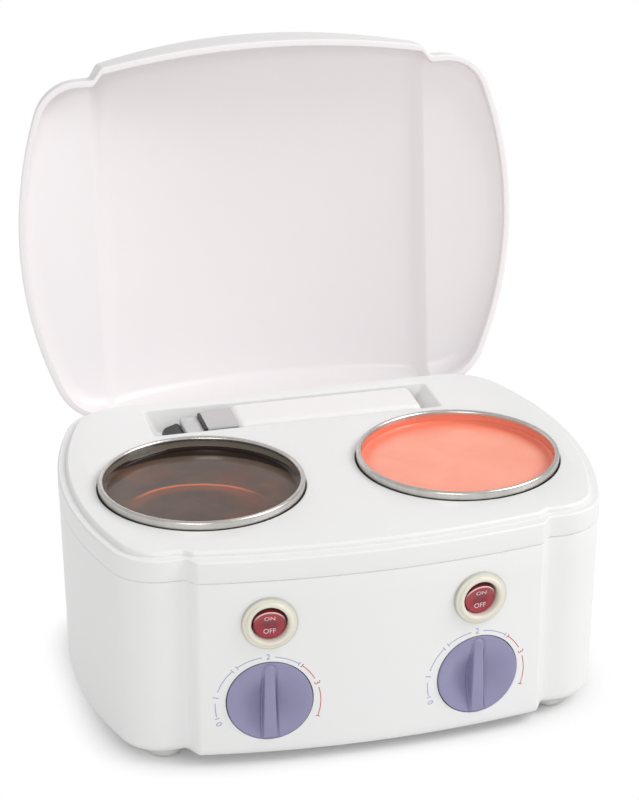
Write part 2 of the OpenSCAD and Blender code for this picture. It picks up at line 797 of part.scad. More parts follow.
// Rocker switches
module bezel(side) {
    step_r = opening_r + 2.6;
    color("beige") on_panel(side, switch_z) difference() {
        union() {
            rotate_extrude() polygon(concat(
                [[opening_r, tube_back], [tube_r, tube_back], [tube_r, bezel_seat], [bezel_r, bezel_seat]],
                arc([bezel_r - 1, 0.8], 1, 0, 90, 4),
                [[step_r, 1.8]],
                arc([step_r - 1.2, 2], 1.2, 0, 120, 5),
                [[opening_r, 2]]));
        }
        translate([0, 0, trunnion_z]) rotate([0, 90, 0])
            cylinder(r = trunnion_r + 0.05, h = 2 * tube_r + 2 * over, center = true);
    }
}

module rocker(side) {
    back = -3.5;
    face = 2.5;
    lift = rocker_swing / 2;
    color("crimson") on_panel(side, switch_z) translate([0, 0, trunnion_z]) rotate([lift, 0, 0]) union() {
        difference() {
            translate([0, 0, back]) cylinder(r = rocker_r, h = face - back + 3);
            for (half = [0, 1]) rotate([0, 0, 180 * half]) translate([0, 0, face]) rotate([lift, 0, 0])
                block([-15, 0, 0], [15, 15, 5]);
        }
        rotate([0, 90, 0]) cylinder(r = trunnion_r, h = 2 * (tube_r - 0.2), center = true);
    }
}

module switch_body(side) {
    spigot_r = opening_r - 0.15;
    color("dimgray") on_panel(side, switch_z) difference() {
        union() {
            translate([0, 0, tube_back]) cylinder(r = spigot_r, h = 4);
            translate([0, 0, tube_back - 6]) cylinder(r = tube_r - 0.3, h = 6);
            for (x = [-5, 0, 5]) translate([x - 0.4, -2.4, tube_back - 10]) cube([0.8, 4.8, 5]);
        }
        block([-4.6, -1.9, tube_back + 0.8], [4.6, 1.9, tube_back + 5]);
    }
}

module switch_nut(side) {
    color("gray") on_panel(side, switch_z) translate([0, 0, pad_back - 3]) difference() {
        cylinder(r = tube_r + 2.6, h = 3);
        translate([0, 0, -over]) cylinder(r = tube_r + 0.1, h = 3 + 2 * over);
    }
}

module neon_lamp(side) {
    color("orange") on_panel(side, switch_z) translate([-4.2, 0, tube_back + 2.4]) rotate([0, 90, 0])
        cylinder(r = 1.6, h = 8.4);
}

// Knobs and thermostats: a disc sunk in the panel, with a finger hollow on each side of a fin
module knob(side) {
    hollow_r = 16;
    color("mediumpurple") on_panel(side, knob_z) difference() {
        union() {
            difference() {
                translate([0, 0, knob_back]) cylinder(r = knob_r, h = knob_t);
                for (x = [-5.5, 5.5])
                    translate([x, -4, knob_proud - hollow_deep + hollow_r]) sphere(r = hollow_r);
            }
            intersection() {
                translate([0, 0, knob_back + 1]) linear_extrude(fin_top - knob_back - 1) hull() {
                    translate([0, fin_end - 2]) circle(r = 2, $fn = 32);
                    translate([-3.35, -fin_end]) square([6.7, 0.5]);
                }
                translate([0, 0, knob_back]) cylinder(r = knob_r - 0.5, h = knob_t + over);
            }
        }
        translate([0, 0, knob_back - over]) cylinder(r = bush_r + 3.6, h = bush_top - knob_back + 0.4 + over);
        d_shape(shaft_r + snug, knob_back, shaft_top + 0.2);
    }
}

// A round bar with a flat along its outer part
module d_shape(r, from, to) {
    flat_z = bush_top + 0.3;
    translate([0, 0, from]) difference() {
        cylinder(r = r, h = to - from);
        block([-r - 1, -r - 1, flat_z - from], [r + 1, -r * 0.7, to - from + 1]);
    }
}

module thermostat(side) {
    deep = 9.5;
    color("darkkhaki") on_panel(side, knob_z) difference() {
        union() {
            translate([0, 0, recess_back - deep]) cylinder(r = thermostat_r, h = deep);
            translate([0, 0, recess_back - over]) cylinder(r = bush_r, h = bush_top - recess_back + over);
            for (x = [-6, 6]) translate([x - 0.4, -3, recess_back - deep - 4]) cube([0.8, 6, 5]);
        }
        translate([0, 0, recess_back - 7])
            cylinder(r = shaft_r + pin_gap, h = bush_top - recess_back + 7 + over);
    }
}

module shaft(side) {
    color("silver") on_panel(side, knob_z) d_shape(shaft_r, recess_back - 6.8, shaft_top);
}

module thermostat_nut(side) {
    color("silver") on_panel(side, knob_z) translate([0, 0, recess_z]) difference() {
        cylinder(r = bush_r + 3, h = nut_h, $fn = 6);
        translate([0, 0, -over]) cylinder(r = bush_r + snug, h = nut_h + 2 * over);
    }
}

// Mains inlet: terminal block, moulded bush and saddle clamp
module terminal_block() {
    y = rear_y - terminal_in;
    z = terminal_z;
    color("ivory") difference() {
        block([-terminal_half, y - terminal_l / 2, z], [terminal_half, y + terminal_l / 2, z + terminal_h]);
        for (side = [-1, 1]) translate([side * terminal_screw_x, y, 0]) {
            translate([0, 0, z - over]) cylinder(r = screw_r + 0.2, h = terminal_h + 2 * over);
            translate([0, 0, z + terminal_h - 5]) cylinder(r = 3, h = 5 + over);
        }
        for (x = [-5, 5]) translate([x, y, z + terminal_h / 2]) rotate([90, 0, 0])
            cylinder(r = 2, h = terminal_l + 2 * over, center = true);
    }
}

module cord_bush() {
    inner = -9;
    color("whitesmoke") at_inlet() difference() {
        union() {
            translate([0, 0, inner]) cylinder(r = bush_out_r, h = 1 - inner);
            translate([0, 0, -0.4]) cylinder(r = bush_rim_r, h = 3);
            translate([0, 0, -wall - 0.5 - 2]) cylinder(r = bush_out_r + 0.15, h = 2);
        }
        translate([0, 0, inner - over]) cylinder(r = cord_r, h = 3 - inner + 2 * over);
    }
}

module cord_clamp() {
    y = rear_y - clamp_screw_in;
    color("ivory") difference() {
        block([-cord_x - clamp_half, y - clamp_l / 2, cord_z + seat],
            [-cord_x + clamp_half, y + clamp_l / 2, clamp_top]);
        translate([-cord_x, y, cord_z]) rotate([90, 0, 0])
            cylinder(r = cord_r + 0.15, h = clamp_l + 2 * over, center = true);
        for (side = [-1, 1]) translate([-cord_x + side * clamp_screw_x, y, cord_z])
            cylinder(r = screw_r + 0.2, h = clamp_top - cord_z + over);
    }
}

// Feet and screws
module foot(x, y) {
    color("whitesmoke") translate([x, y, 0]) rotate_extrude() difference() {
        polygon(concat([[0, 0], [foot_r - 1.5, 0]],
            arc([foot_r - 3, 3], 3, -60, 0, 4), [[foot_r, foot_h], [0, foot_h]]));
        square([3.2, foot_h - 2.5]);
        square([screw_r + 0.2, foot_h + 1]);
    }
}

module screw(r, h, shank) {
    cylinder(r = r, h = h);
    cylinder(r = screw_r, h = h + shank);
}

module housing_screws() {
    color("silver") at_pillars() translate([0, 0, head_z])
        screw(head_r, head_h, pilot_top - head_z - head_h - 1);
}

module foot_screws() {
    color("silver") feet_places() translate([0, 0, foot_h - 4.5]) screw(2.9, 2, 9);
}

module well_screws() {
    color("silver") for (side = [-1, 1]) at_can(side) at_ears() translate([0, 0, well_head_z])
        screw(well_head_r, well_head_h, well_t + 4.5);
}

module clamp_screws() {
    color("silver") for (side = [-1, 1])
        translate([-cord_x + side * clamp_screw_x, rear_y - clamp_screw_in, clamp_top + 2])
            mirror([0, 0, 1]) screw(2.9, 2, clamp_top - cord_z + 5.5);
}

module terminal_screws() {
    color("silver") for (side = [-1, 1])
        translate([side * terminal_screw_x, rear_y - terminal_in, terminal_z + terminal_h - 3])
            mirror([0, 0, 1]) screw(2.7, 2, terminal_h);
}

base_tub();
top_deck();
lid();
hinge_pin(-1);  // left_hinge_pin
hinge_pin(1);  // right_hinge_pin
well(-1);  // left_well
well(1);  // right_well
heater_band(-1);  // left_heater_band
heater_band(1);  // right_heater_band
heat_shield(-1);  // left_heat_shield
heat_shield(1);  // right_heat_shield
thermal_cutout(-1);  // left_thermal_cutout
thermal_cutout(1);  // right_thermal_cutout
can(-1);  // left_can
can(1);  // right_can
amber_wax();
pink_wax();
wand_handle();
wand_collar();
wand_neck();
wand_tip();
bezel(-1);  // left_bezel
bezel(1);  // right_bezel
rocker(-1);  // left_rocker
rocker(1);  // right_rocker
switch_body(-1);  // left_switch_body
switch_body(1);  // right_switch_body
switch_nut(-1);  // left_switch_nut
switch_nut(1);  // right_switch_nut
neon_lamp(-1);  // left_neon_lamp
neon_lamp(1);  // right_neon_lamp
knob(-1);  // left_knob
knob(1);  // right_knob
thermostat(-1);  // left_thermostat
thermostat(1);  // right_thermostat
shaft(-1);  // left_shaft
shaft(1);  // right_shaft
thermostat_nut(-1);  // left_thermostat_nut
thermostat_nut(1);  // right_thermostat_nut
terminal_block();
cord_bush();
cord_clamp();
foot(-front_foot_x, -front_foot_y);  // front_left_foot
foot(front_foot_x, -front_foot_y);  // front_right_foot
foot(-rear_foot_x, rear_foot_y);  // rear_left_foot
foot(rear_foot_x, rear_foot_y);  // rear_right_foot
housing_screws();
foot_screws();
well_screws();
clamp_screws();
terminal_screws();
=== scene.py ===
import math

import bmesh
import bpy
import numpy as np
from mathutils import Matrix, Vector


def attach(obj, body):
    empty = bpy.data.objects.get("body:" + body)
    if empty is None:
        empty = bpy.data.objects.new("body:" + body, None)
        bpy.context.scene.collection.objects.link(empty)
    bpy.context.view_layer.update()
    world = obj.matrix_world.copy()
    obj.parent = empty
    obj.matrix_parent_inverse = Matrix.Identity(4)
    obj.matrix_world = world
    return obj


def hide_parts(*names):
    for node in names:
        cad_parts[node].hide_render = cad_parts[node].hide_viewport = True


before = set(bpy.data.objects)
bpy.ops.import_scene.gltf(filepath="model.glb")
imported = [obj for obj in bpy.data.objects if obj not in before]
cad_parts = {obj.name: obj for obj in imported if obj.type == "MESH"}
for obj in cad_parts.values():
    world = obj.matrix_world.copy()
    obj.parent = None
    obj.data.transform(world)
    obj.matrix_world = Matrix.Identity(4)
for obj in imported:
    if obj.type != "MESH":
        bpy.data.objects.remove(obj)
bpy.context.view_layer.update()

# Camera
# A long lens from the front left, 23 degrees above the table, as the photograph was taken.
MM = 0.001
FOCAL_PX, PHOTO_W, SENSOR_W = 2714, 639, 36.0
turn, climb = math.radians(14.6), math.radians(23.38)


def linked(name, data):
    made = bpy.data.objects.new(name, data)
    bpy.context.scene.collection.objects.link(made)
    return made


camera = linked("camera", bpy.data.cameras.new("camera"))
camera.data.sensor_fit = "HORIZONTAL"
camera.data.sensor_width = SENSOR_W
camera.data.lens = FOCAL_PX / PHOTO_W * SENSOR_W
camera.data.clip_end = 50
camera.location = Vector((-307.7, -1170.5, 666.8)) * MM
aim = Vector((math.sin(turn) * math.cos(climb), math.cos(turn) * math.cos(climb), -math.sin(climb)))
camera.rotation_euler = aim.to_track_quat("-Z", "Y").to_euler()
bpy.context.scene.camera = camera
bpy.context.scene.view_settings.view_transform = "Standard"

# Studio
# A pale table top, a large soft light high at the right, a weaker one at the front left, and an even
# white room that shows brighter than it shines.
ROOM_LIGHT, FLOOR_Y = 0.62, 3.0
FOOTPRINT, PATCH_IN, PATCH_OUT = (0.13, 0.097, 1), 0.86, 1.07


def feed(tree, socket, value):
    """Gives a socket a plain value, or what another socket gives."""
    value = getattr(value, "socket", value)
    if isinstance(value, bpy.types.NodeSocket):
        tree.links.new(value, socket)
    elif socket.type == "RGBA":
        socket.default_value = (*value, 1)
    else:
        socket.default_value = value


def new_node(tree, kind, settings=None, inputs=None):
    made = tree.nodes.new(kind)
    for name, value in (settings or {}).items():
        setattr(made, name, value)
    for name, value in (inputs or {}).items():
        feed(tree, made.inputs[name], value)
    return made


class Value:
    """What one socket of a shader gives, with plain maths on it."""

    def __init__(self, paint, socket):
        self.paint, self.socket = paint, socket

    def maths(self, operation, *values):
        return self.paint.node("ShaderNodeMath", {"operation": operation}, dict(enumerate(values)))

    def __add__(self, other):
        return self.maths("ADD", self, other)

    def __radd__(self, other):
        return self.maths("ADD", other, self)

    def __sub__(self, other):
        return self.maths("SUBTRACT", self, other)

    def __rsub__(self, other):
        return self.maths("SUBTRACT", other, self)

    def __mul__(self, other):
        return self.maths("MULTIPLY", self, other)

    def __rmul__(self, other):
        return self.maths("MULTIPLY", other, self)

    def __pow__(self, other):
        return self.maths("POWER", self, other)

    def over(self, low, high):
        """0 below low, 1 above high, and smooth between."""
        return self.paint.node("ShaderNodeMapRange", {"interpolation_type": "SMOOTHSTEP"},
                               {"Value": self, "From Min": low, "From Max": high})

    def __abs__(self):
        return self.maths("ABSOLUTE", self)

    def near(self, middle, width):
        """1 at the middle, and 0 from a width away."""
        return 1 - abs(self - middle).over(0, width)

    def colours(self, first, second):
        """From the first colour at 0 to the second at 1."""
        return self.paint.node("ShaderNodeMix", {"data_type": "RGBA"}, {0: self, 6: first, 7: second}, 2)


class Paint:
    """Builds the finish of one material."""

    def __init__(self, name, colour, **sockets):
        self.material = bpy.data.materials.new(name)
        self.material.use_nodes = True
        self.tree = self.material.node_tree
        self.shader = self.tree.nodes["Principled BSDF"]
        self.material.diffuse_color = (*colour, 1)
        self.set("Base Color", colour)
        for socket, value in sockets.items():
            self.set(socket.replace("_", " ").title(), value)

    def set(self, socket, value):
        feed(self.tree, self.shader.inputs[socket], value)

    def node(self, kind, settings=None, inputs=None, output=0):
        return Value(self, new_node(self.tree, kind, settings, inputs).outputs[output])

    def place(self, x=0, y=0, scale=(1, 1, 1)):
        """Object coordinates, measured from a point, in metres."""
        point = self.node("ShaderNodeTexCoord", output=3)
        return self.node("ShaderNodeMapping", {"vector_type": "TEXTURE"}, {0: point, 1: (x, y, 0), 3: scale})

    def axes(self, point):
        split = new_node(self.tree, "ShaderNodeSeparateXYZ", {}, {0: point})
        return [Value(self, out) for out in split.outputs]

    def noise(self, size, detail=3.0, point=None):
        """Soft random patches of about this size, in metres: 0 to 1."""
        return self.node("ShaderNodeTexNoise", {},
                         {"Vector": point or self.place(), "Scale": 1 / size, "Detail": detail})

    def tagged(self, name):
        """What tag wrote under this name on the points."""
        return self.node("ShaderNodeAttribute", {"attribute_name": name}, output=2)

    def bump(self, height, depth):
        self.set("Normal", self.node("ShaderNodeBump", {}, {"Height": height, "Distance": depth, "Strength": 1.0}))


def pale_floor():
    """A table top that shows as plain white, but for a patch round the warmer that takes its shadow."""
    paint = Paint("table_top", (0.82, 0.82, 0.82), roughness=0.9)
    paint.set("Specular IOR Level", 0.0)
    light = new_node(paint.tree, "ShaderNodeLightPath").outputs
    seen, glossy, through = [Value(paint, light[f"Is {kind} Ray"]) for kind in ("Camera", "Glossy", "Transmission")]
    glow = paint.node("ShaderNodeEmission", {}, {"Color": (1, 1, 1), "Strength": 1.0})
    direct = seen.maths("MAXIMUM", seen, glossy.maths("MAXIMUM", glossy, through))
    x, y, _ = paint.axes(paint.place(0, -FLOOR_Y, FOOTPRINT))
    edge = ((x * x) ** 2 + (y * y) ** 2) ** 0.25
    share = direct * (0.08 + edge.over(PATCH_IN, PATCH_OUT) * 0.92)
    lit = paint.node("ShaderNodeMixShader", {}, {0: share, 1: Value(paint, paint.shader.outputs[0]), 2: glow})
    feed(paint.tree, paint.tree.nodes["Material Output"].inputs["Surface"], lit)
    return paint


bpy.ops.mesh.primitive_plane_add(size=14, location=(0, FLOOR_Y, 0))
floor = bpy.context.object
floor.name = "table"
floor.data.materials.append(pale_floor().material)

world = bpy.data.worlds.new("room")
bpy.context.scene.world = world
world.use_nodes = True
air = world.node_tree
ray = new_node(air, "ShaderNodeLightPath").outputs
either = new_node(air, "ShaderNodeMath", {"operation": "MAXIMUM"},
                  {0: ray["Is Camera Ray"], 1: ray["Is Transmission Ray"]})
level = new_node(air, "ShaderNodeMapRange", {}, {"Value": either.outputs[0], "To Min": ROOM_LIGHT})
feed(air, air.nodes["Background"].inputs["Color"], (1, 1, 1))
feed(air, air.nodes["Background"].inputs["Strength"], level.outputs[0])


def soft_light(name, place, target, width, height, watts):
    lamp = linked(name, bpy.data.lights.new(name, "AREA"))
    lamp.data.shape = "RECTANGLE"
    lamp.data.size, lamp.data.size_y = width, height
    lamp.data.energy = watts
    lamp.location = place
    lamp.rotation_euler = (Vector(target) - Vector(place)).to_track_quat("-Z", "Y").to_euler()


soft_light("softbox_right", (1.5, -0.5, 1.7), (0, 0, 0.05), 1.3, 1.3, 26)
soft_light("softbox_front", (-0.9, -2.2, 1.1), (0, 0, 0.12), 1.2, 0.8, 13)

# Base tub
# The lower half of the housing: one white ABS moulding with a bowed control panel standing forward of
# two rounded wings. It is screwed to the deck through six pillars, and vents through slots in its floor.
PANEL_HALF, STEP_ROOT = 82.5, 88.8
FRONT_Y, REAR_Y = 96.0, 98.5
WING_FRONT, WING_REAR = 82.5, 95.8
FRONT_CORNER_R, REAR_CORNER_R = 24.0, 30.0
HALF_W, SIDE_R, BOW = 130.0, 200.0, 7.5
BOW_R = (PANEL_HALF ** 2 + BOW ** 2) / (2 * BOW)
FOOT_H, SEAM_Z, WALL = 6.0, 97.5, 3.0
SEAM_INSET, DRAFT, PANEL_DRAFT = 0.3, 1.8, 0.8
FOOT_ROUND, SEAM_ROUND, OVER = 5.0, 0.7, 1.0
BOW_STEPS, STEP_STEPS, WING_STEPS, CORNER_STEPS, SIDE_STEPS = 28, 10, 3, 16, 14


def corner_centre(radius, depth):
    return HALF_W - SIDE_R + math.sqrt((SIDE_R - radius) ** 2 - (depth - radius) ** 2), depth - radius


def ease(share):
    return share * share * (3 - 2 * share)


def bow_y(x, inset=0.0):
    return BOW_R - FRONT_Y - math.sqrt((BOW_R - inset) ** 2 - x * x)


def spread(first, last, steps):
    """Evenly spaced values after the first, up to the last."""
    return [first + (last - first) * i / steps for i in range(1, steps + 1)]


def quarter(start, end, steps=6):
    """Points along a quarter of an ellipse that leaves the start upright and lands level: (in, up)."""
    (i0, z0), (i1, z1) = start, end
    return [(i0 + (i1 - i0) * (1 - math.cos(a)), z0 + (z1 - z0) * math.sin(a))
            for a in [0.0] + spread(0, math.pi / 2, steps)]


def swept(x, y, radius, angles):
    """Points round (x, y) at these angles."""
    return [(x + radius * math.cos(a), y + radius * math.sin(a)) for a in angles]


def bend(x, y, radius, start, sweep, steps):
    """Points of an arc round (x, y), from its start over its sweep, in degrees."""
    return swept(x, y, radius, [math.radians(start + sweep * i / steps) for i in range(steps + 1)])


def circle(radius, steps):
    return bend(0, 0, radius, 0, 360, steps)[:-1]


def outline(inset, panel_inset):
    """The housing's line seen from above, at x >= 0: front half and rear half, point for point."""
    fx, fy = corner_centre(FRONT_CORNER_R, WING_FRONT)
    rx, ry = corner_centre(REAR_CORNER_R, WING_REAR)
    middle = HALF_W - SIDE_R
    front_turn = math.atan2(fy, fx - middle)
    rear_turn = math.atan2(ry, rx - middle)
    front_r, rear_r = FRONT_CORNER_R - inset, REAR_CORNER_R - inset
    root_turn = math.acos((STEP_ROOT - rx) / rear_r) if STEP_ROOT - rx < rear_r else 0.02
    root_y = ry + rear_r * math.sin(root_turn)
    xs = [0.0] + spread(0, PANEL_HALF, BOW_STEPS)
    front = [(x, bow_y(x, panel_inset)) for x in xs]
    rear = [(x, REAR_Y - panel_inset) for x in xs]
    edge = front[-1][1]
    for share in spread(0, 1, STEP_STEPS):
        x = PANEL_HALF + (STEP_ROOT - PANEL_HALF) * share
        front.append((x, edge + (inset - WING_FRONT - edge) * ease(share)))
        rear.append((x, REAR_Y - panel_inset + (root_y - REAR_Y + panel_inset) * ease(share)))
    front += [(x, inset - WING_FRONT) for x in spread(STEP_ROOT, fx, WING_STEPS)]
    front += swept(fx, -fy, front_r, spread(-math.pi / 2, -front_turn, CORNER_STEPS))
    front += swept(middle, 0, SIDE_R - inset, spread(-front_turn, 0, SIDE_STEPS))
    rear += swept(rx, ry, rear_r, spread(root_turn, rear_turn, WING_STEPS + CORNER_STEPS))
    rear += swept(middle, 0, SIDE_R - inset, spread(rear_turn, 0, SIDE_STEPS))
    return front, rear


def ring(inset, panel_inset, height):
    """The closed line round the housing, with its height: a number, or a rule that reads x."""
    front, rear = outline(inset, panel_inset)
    right = front + rear[-2::-1]
    line = right + [(-x, y) for x, y in right[-2:0:-1]]
    return [(x, y, height(x) if callable(height) else height) for x, y in line]


class Form:
    """Gathers the points and faces of one piece, in millimetres."""

    def __init__(self):
        self.points, self.faces = [], []

    def add(self, points):
        start = len(self.points)
        self.points += [tuple(p) for p in points]
        return list(range(start, start + len(points)))

    def band(self, first, second):
        n = len(first)
        for i in range(n):
            j = (i + 1) % n
            self.faces.append((first[i], first[j], second[j], second[i]))

    def stack(self, rings):
        loops = [self.add(r) for r in rings]
        for first, second in zip(loops, loops[1:]):
            self.band(first, second)
        return loops

    def ladder(self, loop):
        """Closes a ring of the housing with rungs from its front half to its rear half."""
        quarter = len(loop) // 4
        half = len(loop) // 2
        right = [(loop[i], loop[half - i]) for i in range(quarter + 1)]
        left = [(loop[-i], loop[half + i]) for i in range(quarter, 0, -1)]
        rungs = left + right
        for (f0, r0), (f1, r1) in zip(rungs, rungs[1:]):
            self.faces.append(tuple(dict.fromkeys((f0, f1, r1, r0))))

    def cap(self, loops):
        """Closes a stack with one flat face at each end."""
        self.faces += [tuple(loops[0]), tuple(loops[-1])]

    def join(self, other):
        start = len(self.points)
        self.points += other.points
        self.faces += [tuple(i + start for i in face) for face in other.faces]


def moved(points, place):
    return [tuple(place @ Vector(p)) for p in points]


def raised(line, z, place=None):
    """A flat line put at a height, then moved by a matrix."""
    points = [(x, y, z) for x, y in line]
    return moved(points, place) if place else points


def capped(rings):
    form = Form()
    form.cap(form.stack(rings))
    return form


def bar(line, low, high, place=None):
    """A straight bar with this outline in XY, from one height to another, moved by a matrix."""
    return capped([raised(line, z, place) for z in (low, high)])


def rod(radius, low, high, place=None, steps=48):
    return bar(circle(radius, steps), low, high, place)


def at(x, y):
    return Matrix.Translation((x, y, 0))


def plain_mesh(name, form, merge=0.002):
    mesh = bpy.data.meshes.new(name)
    mesh.from_pydata([Vector(p) * MM for p in form.points], [], form.faces)
    made = bmesh.new()
    made.from_mesh(mesh)
    bmesh.ops.remove_doubles(made, verts=made.verts, dist=merge * MM)
    bmesh.ops.dissolve_degenerate(made, edges=made.edges, dist=1e-7)
    bmesh.ops.recalc_face_normals(made, faces=made.faces)
    made.to_mesh(mesh)
    made.free()
    return mesh


def finished(mesh, paint, body, replaced=(), sharp=32):
    """Makes the mesh a piece of the warmer that rides on a body."""
    name = mesh.name
    mesh.materials.clear()
    mesh.materials.append(paint.material)
    mesh.polygons.foreach_set("use_smooth", [True] * len(mesh.polygons))
    mesh.set_sharp_from_angle(angle=math.radians(sharp))
    made = linked(name, mesh)
    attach(made, body)
    if replaced:
        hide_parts(*replaced)
    return made


def piece(name, form, paint, body, replaced=(), sharp=32):
    return finished(plain_mesh(name, form), paint, body, replaced, sharp)


def final_mesh(thing):
    """An object's mesh, with its modifiers applied."""
    bpy.context.view_layer.update()
    return bpy.data.meshes.new_from_object(thing.evaluated_get(bpy.context.evaluated_depsgraph_get()))


def carved(name, base, added, cut):
    """The base with forms welded on, then forms cut away, as one closed mesh."""
    work = linked(name + "_blank", plain_mesh(name + "_blank", base))
    spare = [work]
    for step, (forms, operation) in enumerate(((added, "UNION"), (cut, "DIFFERENCE"))):
        group = bpy.data.collections.new(f"{name}_{step}")
        bpy.context.scene.collection.children.link(group)
        for i, form in enumerate(forms):
            tool = bpy.data.objects.new(f"{name}_{step}_{i}", plain_mesh(f"{name}_{step}_{i}", form))
            group.objects.link(tool)
            spare.append(tool)
        change = work.modifiers.new("carve", "BOOLEAN")
        change.operation = operation
        change.solver = "EXACT"
        change.operand_type = "COLLECTION"
        change.collection = group
        result = final_mesh(work)
        work.modifiers.clear()
        work.data = result
    for used in spare:
        bpy.data.objects.remove(used)
    result.name = name
    return result


def draft_share(z):
    """Share of the tub's draft at a height: 0 at the seam, 1 at its floor."""
    return (SEAM_Z - z) / (SEAM_Z - FOOT_H)


def panel_inset(z):
    return SEAM_INSET + PANEL_DRAFT * draft_share(z)


def tub_ring(z, more=0.0, more_panel=0.0):
    return ring(SEAM_INSET + DRAFT * draft_share(z) + more, panel_inset(z) + more_panel, z)


def abs_paint(name, colour):
    """White ABS: a satin moulded skin, with the faint unevenness of a large moulding."""
    paint = Paint(name, colour, roughness=0.34, coat_weight=0.12, coat_roughness=0.12)
    patch = paint.noise(0.09, 2.0)
    paint.set("Base Color", patch.over(0.25, 0.75).colours(tuple(c * 0.985 for c in colour), colour))
    paint.set("Roughness", 0.3 + paint.noise(0.012, 4.0) * 0.09)
    fine = paint.noise(0.0011, 2.0)
    paint.bump(fine + paint.noise(0.045, 2.0) * 6.0, 0.00001)
    return paint


body_paint = abs_paint("body_abs", (0.83, 0.83, 0.825))
tub = Form()
loops = tub.stack(
    [tub_ring(z, i, i / 2) for i, z in reversed(quarter((0, FOOT_H + FOOT_ROUND), (4.4, FOOT_H), 9))]
    + [tub_ring(z) for z in spread(FOOT_H + FOOT_ROUND, SEAM_Z - SEAM_ROUND, 7)]
    + [tub_ring(z, i, i) for i, z in quarter((0, SEAM_Z - SEAM_ROUND), (0.8, SEAM_Z), 4)[1:]]
    + [tub_ring(SEAM_Z, WALL, WALL), tub_ring(FOOT_H + WALL + FOOT_ROUND, WALL, WALL),
       tub_ring(FOOT_H + WALL, WALL + 2.2, WALL + 1.1)])
tub.ladder(loops[0])
tub.ladder(loops[-1])

PILLARS = [(110.5, -57), (-110.5, -57), (107.5, 70), (-107.5, 70), (0, -80), (0, 89.3)]
PILLAR_R, SCREW_HEAD_R, SCREW_HEAD_Z = 4.5, 2.9, 86.0
CONTROL_X, KNOB_Z, SWITCH_Z = 50.8, 34.7, 76.0
RECESS_R, RECESS_Z, SWITCH_HOLE_R, SHAFT_HOLE_R = 20.75, -8.8, 10.1, 4.2
CAN_X, CAN_Y = 64.4, -11.5
VENT_HALF, VENT_R, VENT_PITCH = 14, 1.5, 8
CORD_X, CORD_Z, BUSH_HOLE_R = -70.0, 30.0, 7.15
panel_turn = math.asin(CONTROL_X / BOW_R)


def on_panel(side, z):
    """Right of the panel is X, up is Y, and out of the panel is Z, from a control's middle."""
    c, s = math.cos(panel_turn), side * math.sin(panel_turn)
    middle = Vector((side * CONTROL_X, bow_y(CONTROL_X, panel_inset(z)), z))
    return Matrix(((c, 0, s, middle.x), (s, 0, -c, middle.y), (0, 1, 0, middle.z), (0, 0, 0, 1)))


inlet = Matrix(((1, 0, 0, CORD_X), (0, 0, 1, REAR_Y - panel_inset(CORD_Z)), (0, -1, 0, CORD_Z), (0, 0, 0, 1)))
cups = []
openings = [rod(SCREW_HEAD_R + 0.9, FOOT_H - OVER, SCREW_HEAD_Z + 2.2, at(x, y)) for x, y in PILLARS]
for side in (-1, 1):
    seat = on_panel(side, KNOB_Z)
    openings.append(rod(SWITCH_HOLE_R, -6, 2, on_panel(side, SWITCH_Z)))
    openings.append(rod(RECESS_R, RECESS_Z, 2, seat, 128))
    openings.append(rod(SHAFT_HOLE_R, RECESS_Z - 4, 2, seat))
    cups.append(rod(RECESS_R + 2.2, RECESS_Z - 2.5, -1.5, seat, 96))
    for i in range(-3, 4):
        x = side * CAN_X + VENT_PITCH * i
        slot = bend(x, CAN_Y + VENT_HALF, VENT_R, 0, 180, 8) + bend(x, CAN_Y - VENT_HALF, VENT_R, 180, 180, 8)
        openings.append(bar(slot, FOOT_H - OVER, FOOT_H + WALL + OVER))
openings.append(rod(BUSH_HOLE_R, -8, 3, inlet))
pillars = [rod(PILLAR_R, FOOT_H + 1, SEAM_Z - 0.5, at(x, y)) for x, y in PILLARS]
finished(carved("tub_shell", tub, pillars + cups, openings), body_paint, "base", ["base_tub"])

# Top deck
# The upper half of the housing, moulded in the same ABS: a ledge for the lid, a raised plateau with two
# round openings for the cans, and a tray for the wand. Its rear edge is rounded about the hinge line, so
# that the lid can swing, and notched for the lid's barrels.
LEDGE_Z, DECK_Z = 108.5, 111.0
LEDGE_W, LEDGE_PANEL_W = 4.2, 6.5
CEILING_Z = LEDGE_Z - 0.5
TRAY_Z, TRAY_HALF, TRAY_FRONT, TRAY_REAR = 98.0, 75.2, 50.5, 82.2
TRAY_SLOPE, TRAY_WALL, TRAY_ROUND = 7.0, 2.4, 1.2
OPEN_R, LIP, COLLAR_T, COLLAR_Z, PILOT_R = 50.5, 0.7, 2.5, 101.0, 1.53
AXIS_Y, AXIS_Z, HINGE_X = 94.1, 101.4, 56.0
CHEEK_HALF, CHEEK_FRONT, CHEEK_REAR = 8.5, 87.5, 97.0
NOTCH_HALF, NOTCH_FRONT, NOTCH_REAR, SWING_R = 6.0, 90, 104, 7.2


def rounded(x0, x1, y0, y1, inset, radius, steps):
    """A rectangle with round corners, whose middles lie this far in from its sides."""
    corners = ((x1 - inset, y1 - inset), (x0 + inset, y1 - inset), (x0 + inset, y0 + inset), (x1 - inset, y0 + inset))
    return [point for i, (x, y) in enumerate(corners) for point in bend(x, y, radius, 90 * i, 90, steps)]


def tray_ring(half, front, rear, radius, z):
    return raised(rounded(-half, half, front, rear, radius, radius, 6), z)


def tray_level(z, grow):
    """A ring of the tray's hollow, which slopes outward as it rises."""
    up = (z - TRAY_Z) / (DECK_Z - TRAY_Z)
    return tray_ring(TRAY_HALF - TRAY_SLOPE * (1 - up) + grow, TRAY_FRONT + 1 - up - grow,
                     TRAY_REAR - 1 + up + grow, 2.2 + max(grow, -0.8), z)


def block(x, half, y0, y1, low, high):
    return bar([(x - half, y0), (x + half, y0), (x + half, y1), (x - half, y1)], low, high)


